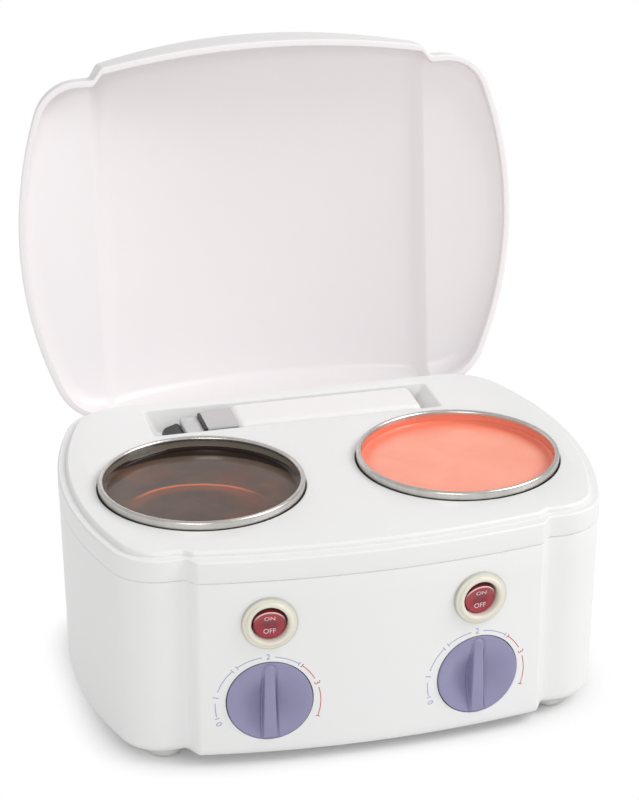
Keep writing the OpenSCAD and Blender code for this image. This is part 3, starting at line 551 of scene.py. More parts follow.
def across(x=0, y=0, z=0):
    """Turns a drawing in XY into one in YZ, with its height along X."""
    return Matrix(((0, 0, 1, x), (1, 0, 0, y), (0, 1, 0, z), (0, 0, 0, 1)))


deck = Form()
loops = deck.stack(
    [ring(LEDGE_W + WALL, LEDGE_PANEL_W + WALL, CEILING_Z),
     ring(LEDGE_W + WALL, LEDGE_PANEL_W + WALL, LEDGE_Z - WALL),
     ring(WALL + 0.2, WALL + 0.2, LEDGE_Z - WALL),
     ring(WALL + 0.2, WALL + 0.2, SEAM_Z)]
    + [ring(0.1 + i, 0.1 + i, z) for i, z in reversed(quarter((0, SEAM_Z + SEAM_ROUND), (0.8, SEAM_Z), 4))]
    + [ring(0.1, 0.1, z) for z in (SEAM_Z + 4, LEDGE_Z - 4)]
    + [ring(0.1 + i, 0.1 + i, z) for i, z in quarter((0, LEDGE_Z - 0.9), (0.9, LEDGE_Z))]
    + [ring(LEDGE_W - 0.4, LEDGE_PANEL_W - 0.4, LEDGE_Z), ring(LEDGE_W - 0.1, LEDGE_PANEL_W - 0.1, LEDGE_Z + 0.1)]
    + [ring(LEDGE_W + i, LEDGE_PANEL_W + i, z)
       for i, z in quarter((0, LEDGE_Z + 0.4), (1.6, DECK_Z), 8)])
deck.ladder(loops[0])
deck.ladder(loops[-1])
lip = quarter((0, DECK_Z - LIP), (LIP, DECK_Z), 4)
floor_round = quarter((0, TRAY_Z + TRAY_ROUND), (-TRAY_ROUND, TRAY_Z), 4)
welded = [capped([tray_ring(TRAY_HALF - TRAY_SLOPE + TRAY_WALL, TRAY_FRONT - 1.4, TRAY_REAR + 1.4, 3,
                            TRAY_Z - TRAY_WALL),
                  tray_ring(TRAY_HALF + TRAY_WALL, TRAY_FRONT - TRAY_WALL, TRAY_REAR + TRAY_WALL, 4, DECK_Z - 1.5)])]
cuts = [capped([tray_level(z, i) for i, z in floor_round[::-1] + lip]
               + [tray_level(z, LIP + 0.05) for z in (DECK_Z + 0.01, DECK_Z + 3)])]
for x, y in PILLARS:
    welded.append(rod(PILLAR_R, SEAM_Z + 0.2, LEDGE_Z - 0.2, at(x, y)))
    cuts.append(rod(PILOT_R, SEAM_Z - 1, LEDGE_Z - 3.5, at(x, y), 24))
for side in (-1, 1):
    middle = at(side * CAN_X, CAN_Y)
    welded.append(rod(OPEN_R + COLLAR_T, COLLAR_Z, DECK_Z - 1, middle, 144))
    profile = ([(0, 96)] + quarter((0, DECK_Z - LIP), (LIP, DECK_Z), 5)
               + [(LIP + 0.05, DECK_Z + 0.02), (LIP + 0.05, DECK_Z + 3)])
    cuts.append(capped([raised(circle(OPEN_R + i, 192), z, middle) for i, z in profile]))
    welded.append(block(side * HINGE_X, CHEEK_HALF, CHEEK_FRONT, CHEEK_REAR, SEAM_Z + 0.1, CEILING_Z))
    cuts.append(block(side * HINGE_X, NOTCH_HALF, NOTCH_FRONT, NOTCH_REAR, SEAM_Z - 0.1, DECK_Z + OVER))
corner_line = (bend(AXIS_Y, AXIS_Z, SWING_R, 0, 90, 15)
               + [(AXIS_Y, DECK_Z + 4), (REAR_Y + 6, DECK_Z + 4), (REAR_Y + 6, AXIS_Z)])
cuts.append(bar(corner_line, -HALF_W, HALF_W, across()))
finished(carved("deck_shell", deck, welded, cuts), body_paint, "base", ["top_deck"])

# Lid
# An arched ABS cover in one moulding: low rounded wings beside a raised band that carries on the control
# panel's line. Two barrels inside its rear wall turn on pins in the deck, and it stands a little past upright.
RIM_Z, LID_OPEN, LID_T, STEP_SHIFT = 108.9, math.radians(-96.3), 2.5, 1.2
WING_TOP, WING_EDGE, BAND_TOP, BAND_EDGE, BAND_HALF = 28.0, 5.3, 40.0, 23.3, 90
BARREL_R, BARREL_HALF, BORE_R, STEM_HALF, STEM_TOP = 3.6, 5.4, 2.05, 2.2, 16.0
open_lid = (Matrix.Translation((0, AXIS_Y, AXIS_Z)) @ Matrix.Rotation(LID_OPEN, 4, "X")
            @ Matrix.Translation((0, -AXIS_Y, -AXIS_Z)))
# The lid is given a lighter white than the body's ABS: painted brightness standing in for the stronger light on its
# inside.
lid_paint = abs_paint("lid_abs_brightened", (0.87, 0.836, 0.845))


def arch(x, top, low, half):
    """Height of an arch that is high in the middle and low at this distance from it."""
    r = (half * half + (top - low) ** 2) / (2 * (top - low))
    return top - r + math.sqrt(r * r - x * x)


def clip(share):
    return min(1, max(0, share))


def crown(x, down, shift):
    """Height of the lid's outside at x, with the slanted step between band and wings."""
    wing, band = arch(x, WING_TOP, WING_EDGE, HALF_W), arch(min(abs(x), BAND_HALF), BAND_TOP, BAND_EDGE, PANEL_HALF)
    share = clip((abs(x) - PANEL_HALF + shift) / (STEP_ROOT - PANEL_HALF))
    return wing + (band - wing) * (1 - share) - down


def lid_line(inset, share, down=0.0, shift=0.0, low=0.0):
    """One line round the lid, at a share of its height above its rim plane."""
    line = ring(inset, inset, lambda x: RIM_Z + max(low, crown(x, down, shift) * share))
    return moved(line, open_lid)


def lid_level(inset, height):
    return moved(ring(inset + 0.1, inset + 0.1, RIM_Z + height), open_lid)


lid = Form()
outside = [lid_level(i, h) for i, h in reversed(quarter((0, 0.7), (0.7, 0), 5))]
outside += [lid_line(0.25, 0.25), lid_line(0.5, 0.5)]
outside += [lid_line(i, share) for i, share in quarter((0.75, 0.7), (7.25, 1.0), 12)]
inside = [lid_line(i, share, LID_T, STEP_SHIFT) for i, share in reversed(quarter((3.6, 0.55), (11.1, 1.0), 12))]
inside += [lid_line(3.6, 0.4, LID_T, STEP_SHIFT, 1.9), lid_level(3.55, 1.6), lid_level(3.3, 0.9)]
inside += [lid_level(3.3 - i, h) for i, h in quarter((0, 0.5), (0.5, 0), 4)]
outer = lid.stack(outside)
inner = lid.stack(inside)
lid.band(inner[-1], outer[0])
lid.ladder(outer[-1])
lid.ladder(inner[0])
piece("lid_shell", lid, lid_paint, "lid", ["lid"], 28)

barrels = Form()
bends = sorted([2 * math.pi * i / 72 for i in range(72)]
               + [math.atan2(STEM_TOP, x) for x in (-STEM_HALF, STEM_HALF)]
               + [math.acos(x / BARREL_R) for x in (-STEM_HALF, STEM_HALF)])
line = []
for a in bends:
    reach = BARREL_R
    if math.sin(a) > 0.01:
        reach = max(reach, min(STEM_TOP / math.sin(a), STEM_HALF / max(abs(math.cos(a)), 1e-6)))
    line.append((reach * math.cos(a), reach * math.sin(a)))
lines = [([(x * s, y * s) for x, y in line], z) for z, s in ((-BARREL_HALF, 0.94), (0.25 - BARREL_HALF, 1),
                                                             (BARREL_HALF - 0.25, 1), (BARREL_HALF, 0.94))]
lines += [(swept(0, 0, BORE_R, bends), z) for z in (BARREL_HALF, -BARREL_HALF)]
for side in (-1, 1):
    place = open_lid @ across(side * HINGE_X, AXIS_Y, AXIS_Z)
    loops = barrels.stack([raised(line, z, place) for line, z in lines])
    barrels.band(loops[-1], loops[0])
piece("lid_barrels", barrels, lid_paint, "lid")

# Cans
# Two lift-out wax tins of rolled tinplate: a thin wall with a lap seam and three shallow rolled grooves,
# and at the top a folded band under the wire-like bead of the rim.
CAN_Z, RIM_TOP, WAX_Z = 47.0, 115.0, 108.5
CAN_WALL_R, CAN_T, BEAD_R, BEAD_MID = 48.75, 0.6, 1.3, 48.7


def tin_paint(name, side, painted_wall_colour):
    """Bright tinplate, with the inside of its wall above the wax painted in the wax's colour and made less metallic:
    a painted reflection of the wax and painted shade inside the can.
    """
    paint = Paint(name, (0.62, 0.6, 0.57), metallic=1.0, roughness=0.24)
    x, y, z = paint.axes(paint.place(side * CAN_X * MM, CAN_Y * MM))
    streak = paint.noise(0.004, 3.0, paint.place(scale=(1, 1, 14)))
    cloud = paint.noise(0.02, 3.0)
    inside = ((x * x + y * y) ** 0.5).over(0.0486, 0.0483)
    # Painted reflection and shade: the inside of the wall above the wax takes the wax's colour and loses most of its
    # shine.
    painted_wall_mask = inside * z.over((RIM_TOP - 1.6) * MM, (RIM_TOP - 3.6) * MM)
    metal = (streak * 0.5 + cloud * 0.5).over(0.25, 0.75).colours((0.58, 0.565, 0.54), (0.7, 0.68, 0.65))
    paint.set("Base Color", painted_wall_mask.colours(metal, painted_wall_colour))
    paint.set("Metallic", 1 - painted_wall_mask * 0.65)
    paint.set("Roughness", 0.18 + cloud * 0.16)
    paint.bump(streak, 0.00003)
    return paint


def lathe(profile, steps, place, close=False):
    """A form turned about Z from (radius, height) pairs and moved by a matrix."""
    form = Form()
    loops = form.stack([raised(circle(r, steps), z, place) for r, z in profile])
    if close:
        form.band(loops[-1], loops[0])
    return form


def can_form(middle):
    r, t = CAN_WALL_R, CAN_T
    bead = bend(BEAD_MID, RIM_TOP - BEAD_R, BEAD_R, -15, 185, 17)
    out = [(0, CAN_Z + 0.9), (r - 6, CAN_Z + 0.9), (r - 4.5, CAN_Z + 0.2), (r - 3.6, CAN_Z), (r - 0.9, CAN_Z),
           (r - 0.25, CAN_Z + 0.25), (r, CAN_Z + 0.9)]
    groove = []
    for z in (CAN_Z + 8, CAN_Z + 14, RIM_TOP - 12):
        groove += [(r, z - 1.1), (r - 0.22, z - 0.55), (r - 0.32, z), (r - 0.22, z + 0.55), (r, z + 1.1)]
    wall = [(r, RIM_TOP - 4.9), (r + 0.35, RIM_TOP - 4.45), (r + 1.0, RIM_TOP - 4.3), (r + 1.15, RIM_TOP - 4.1),
            (r + 1.2, RIM_TOP - 3.7), (r + 1.2, RIM_TOP - 1.9)]
    inner = [(r - t, RIM_TOP - 2.9), (r - t, RIM_TOP - 8)]
    inner += [(q - t, z) for q, z in reversed(groove)]
    inner += [(r - t, CAN_Z + 2), (r - t - 0.6, CAN_Z + 1.2), (0, CAN_Z + 1.4)]
    return lathe(out + groove + wall + bead + inner, 192, middle)


# The third colour of each entry is painted on the inside of that tin's wall: painted reflection of its wax and
# painted shade.
for side, name, painted_wall_colour in ((-1, "left", (0.36, 0.31, 0.24)), (1, "right", (0.9, 0.36, 0.25))):
    middle = at(side * CAN_X, CAN_Y)
    tin = tin_paint(name + "_tinplate", side, painted_wall_colour)
    piece(name + "_tin", can_form(middle), tin, name + "_can", [name + "_can"], 40)
    seam_line = [(CAN_WALL_R + out, y) for out, y in ((-0.1, -2.2), (0.12, -1.9), (0.12, 1.9), (-0.1, 2.2))]
    seam = bar(seam_line, CAN_Z + 1.2, RIM_TOP - 3.4, middle @ Matrix.Rotation(math.radians(80), 4, "Z"))
    piece(name + "_tin_seam", seam, tin, name + "_can")

# Waxes
# Set hard wax poured into each can: clear dark amber at the left, opaque pink cream at the right. Both climb
# the tin a little at the edge, and their tops are glossy and very slightly uneven.
WAX_R, WAX_TOP = CAN_WALL_R - CAN_T - 0.05, WAX_Z - 0.15


def wax_form(side, creep):
    edge = [(WAX_R - 3.2 * s, WAX_TOP + creep * (1 - s) ** 3) for s in np.linspace(0, 1, 9)]
    top = [(WAX_R * s, WAX_TOP - 0.1 * (1 - s)) for s in (0.8, 0.6, 0.4, 0.2, 0.0)]
    return lathe([(0, CAN_Z + 1.5), (WAX_R - 0.8, CAN_Z + 1.5), (WAX_R, CAN_Z + 2.4)] + edge + top, 128,
                 at(side * CAN_X, CAN_Y))


def amber_paint():
    """Deep brown, with the tin's dark wall mirrored at the back and one orange arc of light inside."""
    paint = Paint("amber_wax", (0.07, 0.045, 0.03), roughness=0.1)
    paint.set("Specular IOR Level", 0.3)
    x, y, _ = paint.axes(paint.place(-CAN_X * MM, CAN_Y * MM))
    drift = paint.noise(0.018, 3.0)
    shade = drift.over(0.3, 0.75).colours((0.07, 0.046, 0.032), (0.1, 0.062, 0.042))
    patch = paint.noise(0.03, 2.0).over(0.45, 0.75) * 0.45
    warm = patch.colours(shade, (0.19, 0.05, 0.03))
    off = ((x + 0.0079) * (x + 0.0079) + (y + 0.031) * (y + 0.031)) ** 0.5 + (drift - 0.5) * 0.002
    glow = off.near(0.0383, 0.0017) * abs(x + 0.004).over(0.033, 0.018)
    halo = off.near(0.0355, 0.006) * abs(x + 0.01).over(0.036, 0.02)
    lit = (glow * 0.95 + halo * 0.18).colours(warm, (0.58, 0.14, 0.055))
    back = ((x + 0.0045) * (x + 0.0045) + (y + 0.0142) * (y + 0.0142)) ** 0.5
    paint.set("Base Color", back.over(0.0535, 0.0555).colours(lit, (0.012, 0.004, 0.002)))
    paint.bump(paint.noise(0.014, 2.0), 0.00012)
    return paint


def pink_paint():
    paint = Paint("pink_wax", (0.97, 0.36, 0.24), roughness=0.24, coat_weight=0.2, coat_roughness=0.08)
    paint.set("Specular IOR Level", 0.35)
    x, y, _ = paint.axes(paint.place(CAN_X * MM, CAN_Y * MM))
    far = (x * x + y * y) ** 0.5
    drift = paint.noise(0.022, 3.0)
    cream = drift.over(0.3, 0.7).colours((0.955, 0.335, 0.225), (0.975, 0.37, 0.255))
    edge = far.over(0.0385, 0.0475).colours(cream, (0.93, 0.235, 0.145))
    paint.set("Base Color", edge)
    paint.bump(paint.noise(0.012, 2.0), 0.00016)
    return paint


piece("amber_wax_pool", wax_form(-1, 1.3), amber_paint(), "left_can", ["amber_wax"], 50)
piece("pink_wax_pool", wax_form(1, 1.0), pink_paint(), "right_can", ["pink_wax"], 50)

# Heated wells
# Under each can sits a spun aluminium well, screwed up into the deck, with a clamped heater band, a sheet
# heat shield and a thermal cut-out below. These keep their solids and get their metals and mica here.


def both(*names):
    return [side + name for name in names for side in ("left_", "right_")]


def keep(names, paint):
    """A solid whose shape is right stays, and gets its real finish."""
    for name in names:
        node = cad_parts[name]
        node.data.materials.clear()
        node.data.materials.append(paint.material)


def metal_paint(name, colour, rough, grain, scale=(1, 1, 1)):
    paint = Paint(name, colour, metallic=1.0, roughness=rough)
    lines = paint.noise(grain, 4.0, paint.place(scale=scale))
    cloud = paint.noise(grain * 9, 3.0)
    paint.set("Base Color", (lines * 0.6 + cloud * 0.4).colours(tuple(c * 0.82 for c in colour), colour))
    paint.set("Roughness", rough * 0.75 + lines * rough * 0.6)
    paint.bump(lines, 0.00002)
    return paint


def mica_paint():
    """Mica with the heater's wire wound round it, seen as ridges 7 mm apart."""
    paint = Paint("mica_band", (0.42, 0.31, 0.18), roughness=0.5)
    _, _, z = paint.axes(paint.place())
    flake = paint.noise(0.003, 5.0)
    wrap = (z.maths("SINE", z * 900) * 0.5 + 0.5).over(0.2, 0.9)
    paint.set("Base Color", (flake * 0.6 + wrap * 0.4).colours((0.26, 0.18, 0.1), (0.5, 0.38, 0.22)))
    paint.bump(wrap, 0.0002)
    return paint


def moulded_paint(name, colour, rough=0.45, speck=0.12):
    """A small moulded part: slightly mottled, with a fine grain."""
    paint = Paint(name, colour, roughness=rough)
    mottle = paint.noise(0.006, 4.0)
    paint.set("Base Color", mottle.over(0.2, 0.8).colours(tuple(c * (1 - speck) for c in colour), colour))
    paint.set("Roughness", rough - 0.06 + paint.noise(0.002, 3.0) * 0.12)
    paint.bump(paint.noise(0.0009, 2.0), 0.00002)
    return paint


keep(both("well"), metal_paint("spun_aluminium", (0.78, 0.78, 0.77), 0.34, 0.0012, (1, 1, 0.08)))
keep(both("heat_shield"), metal_paint("galvanised_sheet", (0.62, 0.63, 0.64), 0.42, 0.004))
keep(both("heater_band"), mica_paint())
keep(both("thermal_cutout", "switch_body"), moulded_paint("phenolic_black", (0.035, 0.034, 0.036), 0.5, 0.3))

# Wand
# A roller head on a flat handle, lying in the tray: a white handle with soft edges, a folded steel collar,
# a grey neck block and the black closed side of the roller head.
WAND_Z, WAND_Y = 98.3, 65.75


def soft_bar(x0, x1, half, top, radius, steps, low=0.0, taper=None):
    """A bar along the wand with rounded edges and corners, from rings of a rounded rectangle."""
    rings = []
    for end, way in ((x0, 1), (x1, -1)):
        for i, r in quarter((0, 0.0), (radius, radius), steps)[::way]:
            x = end + way * i
            roof = WAND_Z + top - (taper(x) if taper else 0.0)
            line = rounded(WAND_Y - half, WAND_Y + half, WAND_Z + low, roof, radius, max(r, 0.02), steps)
            rings.append([(x, y, z) for y, z in line])
    return capped(rings)


handle_paint = abs_paint("handle_abs", (0.86, 0.84, 0.84))
collar_paint = metal_paint("collar_steel", (0.74, 0.74, 0.75), 0.3, 0.0008, (12, 1, 1))
neck_paint = moulded_paint("neck_grey", (0.6, 0.6, 0.61), 0.36)
black_paint = moulded_paint("head_black", (0.022, 0.022, 0.024), 0.38, 0.3)
head = soft_bar(-66.45, -56.9, 11, 7.2, 2.2, 12, taper=lambda x: 2.6 * max(0.0, (-58.5 - x) / 7.5) ** 1.6)
piece("wand_grip", soft_bar(-31, 65.6, 13.5, 13.5, 3.6, 8), handle_paint, "wand", ["wand_handle"])
piece("wand_steel_collar", soft_bar(-46.5, -29.5, 10.75, 12, 0.9, 6), collar_paint, "wand", ["wand_collar"])
piece("wand_neck_block", soft_bar(-57, -47.7, 10.5, 9.7, 0.8, 5), neck_paint, "wand", ["wand_neck"])
# A thin black sheet between the neck and the collar: painted shade for the dark gap between them.
piece("wand_gap_shade_sheet", soft_bar(-47.9, -46.3, 10.2, 11.4, 0.4, 3, 0.6), black_paint, "wand")
piece("wand_roller_head", head, black_paint, "wand", ["wand_tip"])

# Switches
# A cream two-step bezel presses into the panel, and a round red rocker with a lamp behind it tips in its
# opening. ON is printed on its upper half and OFF on its lower half.
BEZEL_R, BEZEL_BACK, BEZEL_T, OPENING_R, ROCKER_R = 13.25, -14, 1.25, 8.65, 7.7
PIVOT_Z, REST_TIP, FACE_Z = -2.0, math.radians(11), 2.5
SIZE_PER_CAPITAL = 1.38
bezel_paint = moulded_paint("bezel_cream", (0.76, 0.73, 0.63), 0.32, 0.05)
# Painted shade: the bezel's outer side and rounded outer edge, marked by the rim tag, are painted a darker grey where
# it meets the panel.
bezel_paint.set("Base Color", (bezel_paint.tagged("rim") * 0.9).colours((0.76, 0.73, 0.63), (0.46, 0.46, 0.4)))
rocker_paint = Paint("rocker_red", (0.36, 0.02, 0.04), roughness=0.28, coat_weight=0.15, coat_roughness=0.1)
red = rocker_paint.noise(0.006, 2.0).over(0.2, 0.8).colours((0.3, 0.014, 0.026), (0.4, 0.03, 0.048))
cloudy = 0.55 + 0.45 * rocker_paint.noise(0.0016, 3.0).over(0.35, 0.65)
# The rocker is painted darker in its middle, and its side wall below the facets is painted darker as painted shade.
deep = (rocker_paint.tagged("dark_middle_and_wall_shade") * cloudy).colours(red, (0.17, 0.012, 0.022))
# Painted highlight: the rocker's upper rolled edge is painted pale pink, as if it caught the light.
rocker_paint.set("Base Color", rocker_paint.tagged("edge").colours(deep, (0.95, 0.7, 0.7)))
rocker_paint.bump(rocker_paint.noise(0.0012, 2.0), 0.00003)
print_paint = moulded_paint("printed_white", (0.84, 0.62, 0.64), 0.5, 0.03)


def bezel_profile():
    step = OPENING_R + 2.6
    outer = bend(BEZEL_R - 1, 0.8, 1, 0, 90, 6)
    inner = [(step - 1.2 + 1.2 * math.cos(a), 2 + 1.1 * math.sin(a)) for a in np.linspace(0, math.radians(150), 10)]
    sleeve = [(OPENING_R, BEZEL_BACK), (OPENING_R + BEZEL_T, BEZEL_BACK), (OPENING_R + BEZEL_T, -0.35),
              (BEZEL_R, -0.35)]
    return (sleeve + outer + [(step + 0.5, 1.8), (step + 0.15, 1.85)] + inner
            + [(OPENING_R + 0.15, 2.1), (OPENING_R, 1.8)])


def spare_form(thing):
    """The form of a helper object, which is then removed."""
    mesh = final_mesh(thing)
    thing.modifiers.clear()
    form = Form()
    form.points = [tuple(v.co) for v in mesh.vertices]
    form.faces = [tuple(p.vertices) for p in mesh.polygons]
    bpy.data.objects.remove(thing)
    bpy.data.meshes.remove(mesh)
    return form


def lettering(text, height, thick=0.08):
    """Plain sans letters as a flat slab, centred on the origin, in millimetres."""
    curve = bpy.data.curves.new("letters", "FONT")
    curve.body = text
    curve.align_x, curve.align_y = "CENTER", "CENTER"
    curve.size = height * SIZE_PER_CAPITAL
    curve.extrude = thick / 2
    curve.resolution_u = 6
    return spare_form(linked("letters", curve))


def placed(form, rule):
    """The form with every point moved by a rule or a matrix."""
    form.points = [tuple(rule @ Vector(p)) if isinstance(rule, Matrix) else tuple(rule(*p)) for p in form.points]
    return form


def tag(made, name, place, rule):
    """Writes a value on every point, from its place in the part's own millimetres."""
    back = place.inverted()
    layer = made.data.attributes.new(name, "FLOAT", "POINT")
    layer.data.foreach_set("value", [rule(*(back @ (v.co / MM))) for v in made.data.vertices])


def facet_drop(y, z):
    """How far a point of the rocker lies below its two facets."""
    return FACE_Z + abs(y) * math.tan(REST_TIP) - z


def rocker_form(place):
    """A disc whose top is a shallow V of two facets, with a rolled edge."""
    form = Form()
    rolled = [(ROCKER_R, 1.6), (ROCKER_R, 0.75), (ROCKER_R - 0.1, 0.38), (ROCKER_R - 0.35, 0.12),
              (ROCKER_R - 0.75, 0.0)]
    rings = [raised(circle(ROCKER_R, 96), -3.5, place)]
    for r, drop in rolled + [(ROCKER_R * share, 0.0) for share in (0.78, 0.6, 0.45, 0.3, 0.15, 0.0)]:
        rings.append(moved([(x, y, FACE_Z + math.sqrt(y * y + 0.04) * math.tan(REST_TIP) - 0.02 - drop)
                            for x, y in circle(r, 96)], place))
    form.faces.append(tuple(form.stack(rings)[0]))
    return form


for side, name in ((-1, "left"), (1, "right")):
    seat = on_panel(side, SWITCH_Z)
    bezel = lathe(bezel_profile(), 128, seat, close=True)
    made = piece(name + "_switch_bezel", bezel, bezel_paint, "base", [name + "_bezel"], 45)
    # Marks the bezel's outer side and rounded edge for its painted shade.
    tag(made, "rim", seat, lambda x, y, z: clip((math.hypot(x, y) - BEZEL_R + 0.9) / 0.7))
    tip = seat @ Matrix.Translation((0, 0, PIVOT_Z)) @ Matrix.Rotation(REST_TIP, 4, "X")
    rocker = piece(name + "_switch_rocker", rocker_form(tip), rocker_paint, name + "_rocker",
                   [name + "_rocker"], 50)
    # Marks the upper rolled edge for the painted highlight.
    tag(rocker, "edge", tip, lambda x, y, z: ease(clip(y / ROCKER_R * 1.6 - 0.15))
        * clip((math.hypot(x, y) - ROCKER_R + 0.5) / 0.3) * (facet_drop(y, z) < 0.5))
    # Marks the darker middle, and the side wall below the facets for its painted shade.
    tag(rocker, "dark_middle_and_wall_shade", tip, lambda x, y, z: max(ease(clip(1.25 - math.hypot(x, y + 0.4) / 5.2)),
                                                  1.0 * (facet_drop(y, z) > 0.6)))
    legend = Form()
    for text, y, facet in (("ON", 3.7, 1), ("OFF", -3.7, -1)):
        lean = Matrix.Translation((0, 0, FACE_Z + 0.02)) @ Matrix.Rotation(facet * REST_TIP, 4, "X")
        legend.join(placed(lettering(text, 2.5), tip @ lean @ Matrix.Translation((0, y, 0.03))))
    piece(name + "_switch_legend", legend, print_paint, name + "_rocker")
lamp_paint = Paint("neon_glass", (0.9, 0.36, 0.16), roughness=0.08, coat_weight=0.6)
lamp_paint.set("Base Color", lamp_paint.noise(0.003).colours((0.85, 0.3, 0.12), (0.95, 0.5, 0.25)))
keep(both("neon_lamp"), lamp_paint)
keep(both("switch_nut"), moulded_paint("nut_grey", (0.28, 0.28, 0.29), 0.5))

# Dial prints
# Thin arcs with end ticks are printed on the panel round each knob, violet for the rest and middle of the
# travel and red for its top end, with plain numbers in their gaps. Angles count clockwise from the top.
DIAL_R, DIAL_X, DIAL_Y = 24.9, -0.67, -1.71
VIOLET_W, RED_W, TICK_LONG, TICK_W, DIGIT_H = 0.38, 0.42, 2.2, 0.4, 3.0


def on_skin(side, z_mid):
    """Wraps flat drawings, in millimetres from a control's middle, onto the bowed panel."""
    c, s = math.cos(panel_turn), side * math.sin(panel_turn)
    middle = on_panel(side, z_mid).translation

    def rule(u, v, w):
        x, z = middle.x + u * c, middle.z + v
        return x + w * s, bow_y(x, panel_inset(z)) - w, z
    return rule


def arc_ribbon(start, end, width, thick=0.05):
    steps = max(2, int(abs(end - start) / 3))
    sides = [bend(0, 0, DIAL_R + half, 90 - start, start - end, steps) for half in (-width / 2, width / 2)]
    return capped([[(*i, -thick), (*o, -thick), (*o, thick), (*i, thick)] for i, o in zip(*sides)])


def tick_tree():
    """Short bars round an arc: one at each of Count places from Start over Sweep, all in radians."""
    tree = bpy.data.node_groups.new("ticks", "GeometryNodeTree")
    face = tree.interface
    face.new_socket("Geometry", in_out="INPUT", socket_type="NodeSocketGeometry")
    for label, kind, value in (("Count", "NodeSocketInt", 2), ("Radius", "NodeSocketFloat", 25.0),
                               ("Start", "NodeSocketFloat", 0.0), ("Sweep", "NodeSocketFloat", 1.0),
                               ("Length", "NodeSocketFloat", 2.0), ("Width", "NodeSocketFloat", 0.4),
                               ("Ink", "NodeSocketMaterial", None)):
        made = face.new_socket(label, in_out="INPUT", socket_type=kind)
        if value is not None:
            made.default_value = value
    face.new_socket("Geometry", in_out="OUTPUT", socket_type="NodeSocketGeometry")

    def out(kind, settings=None, inputs=None):
        return new_node(tree, kind, settings, inputs).outputs[0]

    given = new_node(tree, "NodeGroupInput").outputs
    line = out("GeometryNodeMeshLine", {"mode": "OFFSET"}, {"Count": given["Count"]})
    last = out("ShaderNodeMath", {"operation": "SUBTRACT"}, {0: given["Count"], 1: 1.0})
    last = out("ShaderNodeMath", {"operation": "MAXIMUM"}, {0: last, 1: 1.0})
    share = out("ShaderNodeMath", {"operation": "DIVIDE"}, {0: out("GeometryNodeInputIndex"), 1: last})
    angle = out("ShaderNodeMath", {"operation": "MULTIPLY_ADD"}, {0: share, 1: given["Sweep"], 2: given["Start"]})
    spin = out("ShaderNodeCombineXYZ", {}, {"Z": angle})
    arm = out("ShaderNodeCombineXYZ", {}, {"X": given["Radius"]})
    spot = out("ShaderNodeVectorRotate", {"rotation_type": "Z_AXIS"}, {"Vector": arm, "Angle": angle})
    points = out("GeometryNodeSetPosition", {}, {"Geometry": line, "Position": spot})
    size = out("ShaderNodeCombineXYZ", {}, {"X": given["Length"], "Y": given["Width"], "Z": 0.1})
    stroke = out("GeometryNodeMeshCube", {}, {"Size": size})
    put = out("GeometryNodeInstanceOnPoints", {}, {"Points": points, "Instance": stroke, "Rotation": spin})
    real = out("GeometryNodeRealizeInstances", {}, {"Geometry": put})
    inked = out("GeometryNodeSetMaterial", {}, {"Geometry": real, "Material": given["Ink"]})
    new_node(tree, "NodeGroupOutput", {}, {"Geometry": inked})
    return tree


def from_tree(tree, values):
    """Runs a tree on an empty mesh and gives its result as a form."""
    holder = linked("holder", bpy.data.meshes.new("holder"))
    change = holder.modifiers.new("nodes", "NODES")
    change.node_group = tree
    named = {item.name: item.identifier for item in tree.interface.items_tree
             if item.item_type == "SOCKET" and item.in_out == "INPUT"}
    for label, value in values.items():
        change[named[label]] = value
    return spare_form(holder)


violet_ink = moulded_paint("ink_violet", (0.36, 0.36, 0.6), 0.5, 0.1)
red_ink = moulded_paint("ink_red", (0.6, 0.12, 0.1), 0.5, 0.1)
ticks = tick_tree()
for side, name in ((-1, "left"), (1, "right")):
    wrap = on_skin(side, KNOB_Z)
    violet, red = Form(), Form()
    for start, end in ((-103, -86), (-72, -42), (-36, -7), (7, 36)):
        violet.join(arc_ribbon(start, end, VIOLET_W))
    for start, end in ((40, 62), (74, 110)):
        red.join(arc_ribbon(start, end, RED_W))
    for ink, start, count, sweep in ((violet, -36, 2, -6), (violet, 36, 1, 0), (violet, -105, 1, 0),
                                     (red, 40, 2, 70)):
        ink.join(from_tree(ticks, {"Count": count, "Radius": DIAL_R, "Start": math.radians(90 - start),
                                   "Sweep": math.radians(-sweep), "Length": TICK_LONG, "Width": TICK_W,
                                   "Ink": violet_ink.material}))
    for ink, text, angle in ((violet, "0", -112), (violet, "1", -79), (violet, "2", 0), (red, "3", 68)):
        a = math.radians(90 - angle)
        place = at(DIAL_R * math.cos(a), DIAL_R * math.sin(a))
        ink.join(placed(lettering(text, DIGIT_H, 0.1), place @ Matrix.Rotation(a - math.pi / 2, 4, "Z")))
    for ink, label, paint in ((violet, "_dial_print", violet_ink), (red, "_dial_hot_print", red_ink)):
        piece(name + label, placed(placed(ink, at(DIAL_X, DIAL_Y)), wrap), paint, "base")

# Knobs
# Violet moulded dials on the thermostat shafts, sunk into round recesses of the panel: a flat disc with two
# finger hollows and a grip fin between them that widens downward.
KNOB_R, KNOB_BACK, KNOB_FACE, FIN_TOP, KNOB_STEPS = 20.25, -8.0, 0.5, 1.0, 384
SHAFT_R, BOSS_R = 2.05, 7.6
FIN_HEAD, FIN_FOOT, FIN_HALF = 16.2, -18.6, 2.45
HOLLOW_X, HOLLOW_R, HOLLOW_DEEP = 2.6, 16.2, 5.0
knob_paint = Paint("knob_violet", (0.27, 0.255, 0.43), roughness=0.42, coat_weight=0.1, coat_roughness=0.3)
knob_paint.set("Base Color", knob_paint.noise(0.02, 3.0).over(0.2, 0.8).colours(
    (0.262, 0.25, 0.405), (0.285, 0.272, 0.43)))
knob_paint.set("Roughness", 0.38 + knob_paint.noise(0.004, 3.0) * 0.1)
knob_paint.bump(knob_paint.noise(0.0008, 2.0), 0.000015)


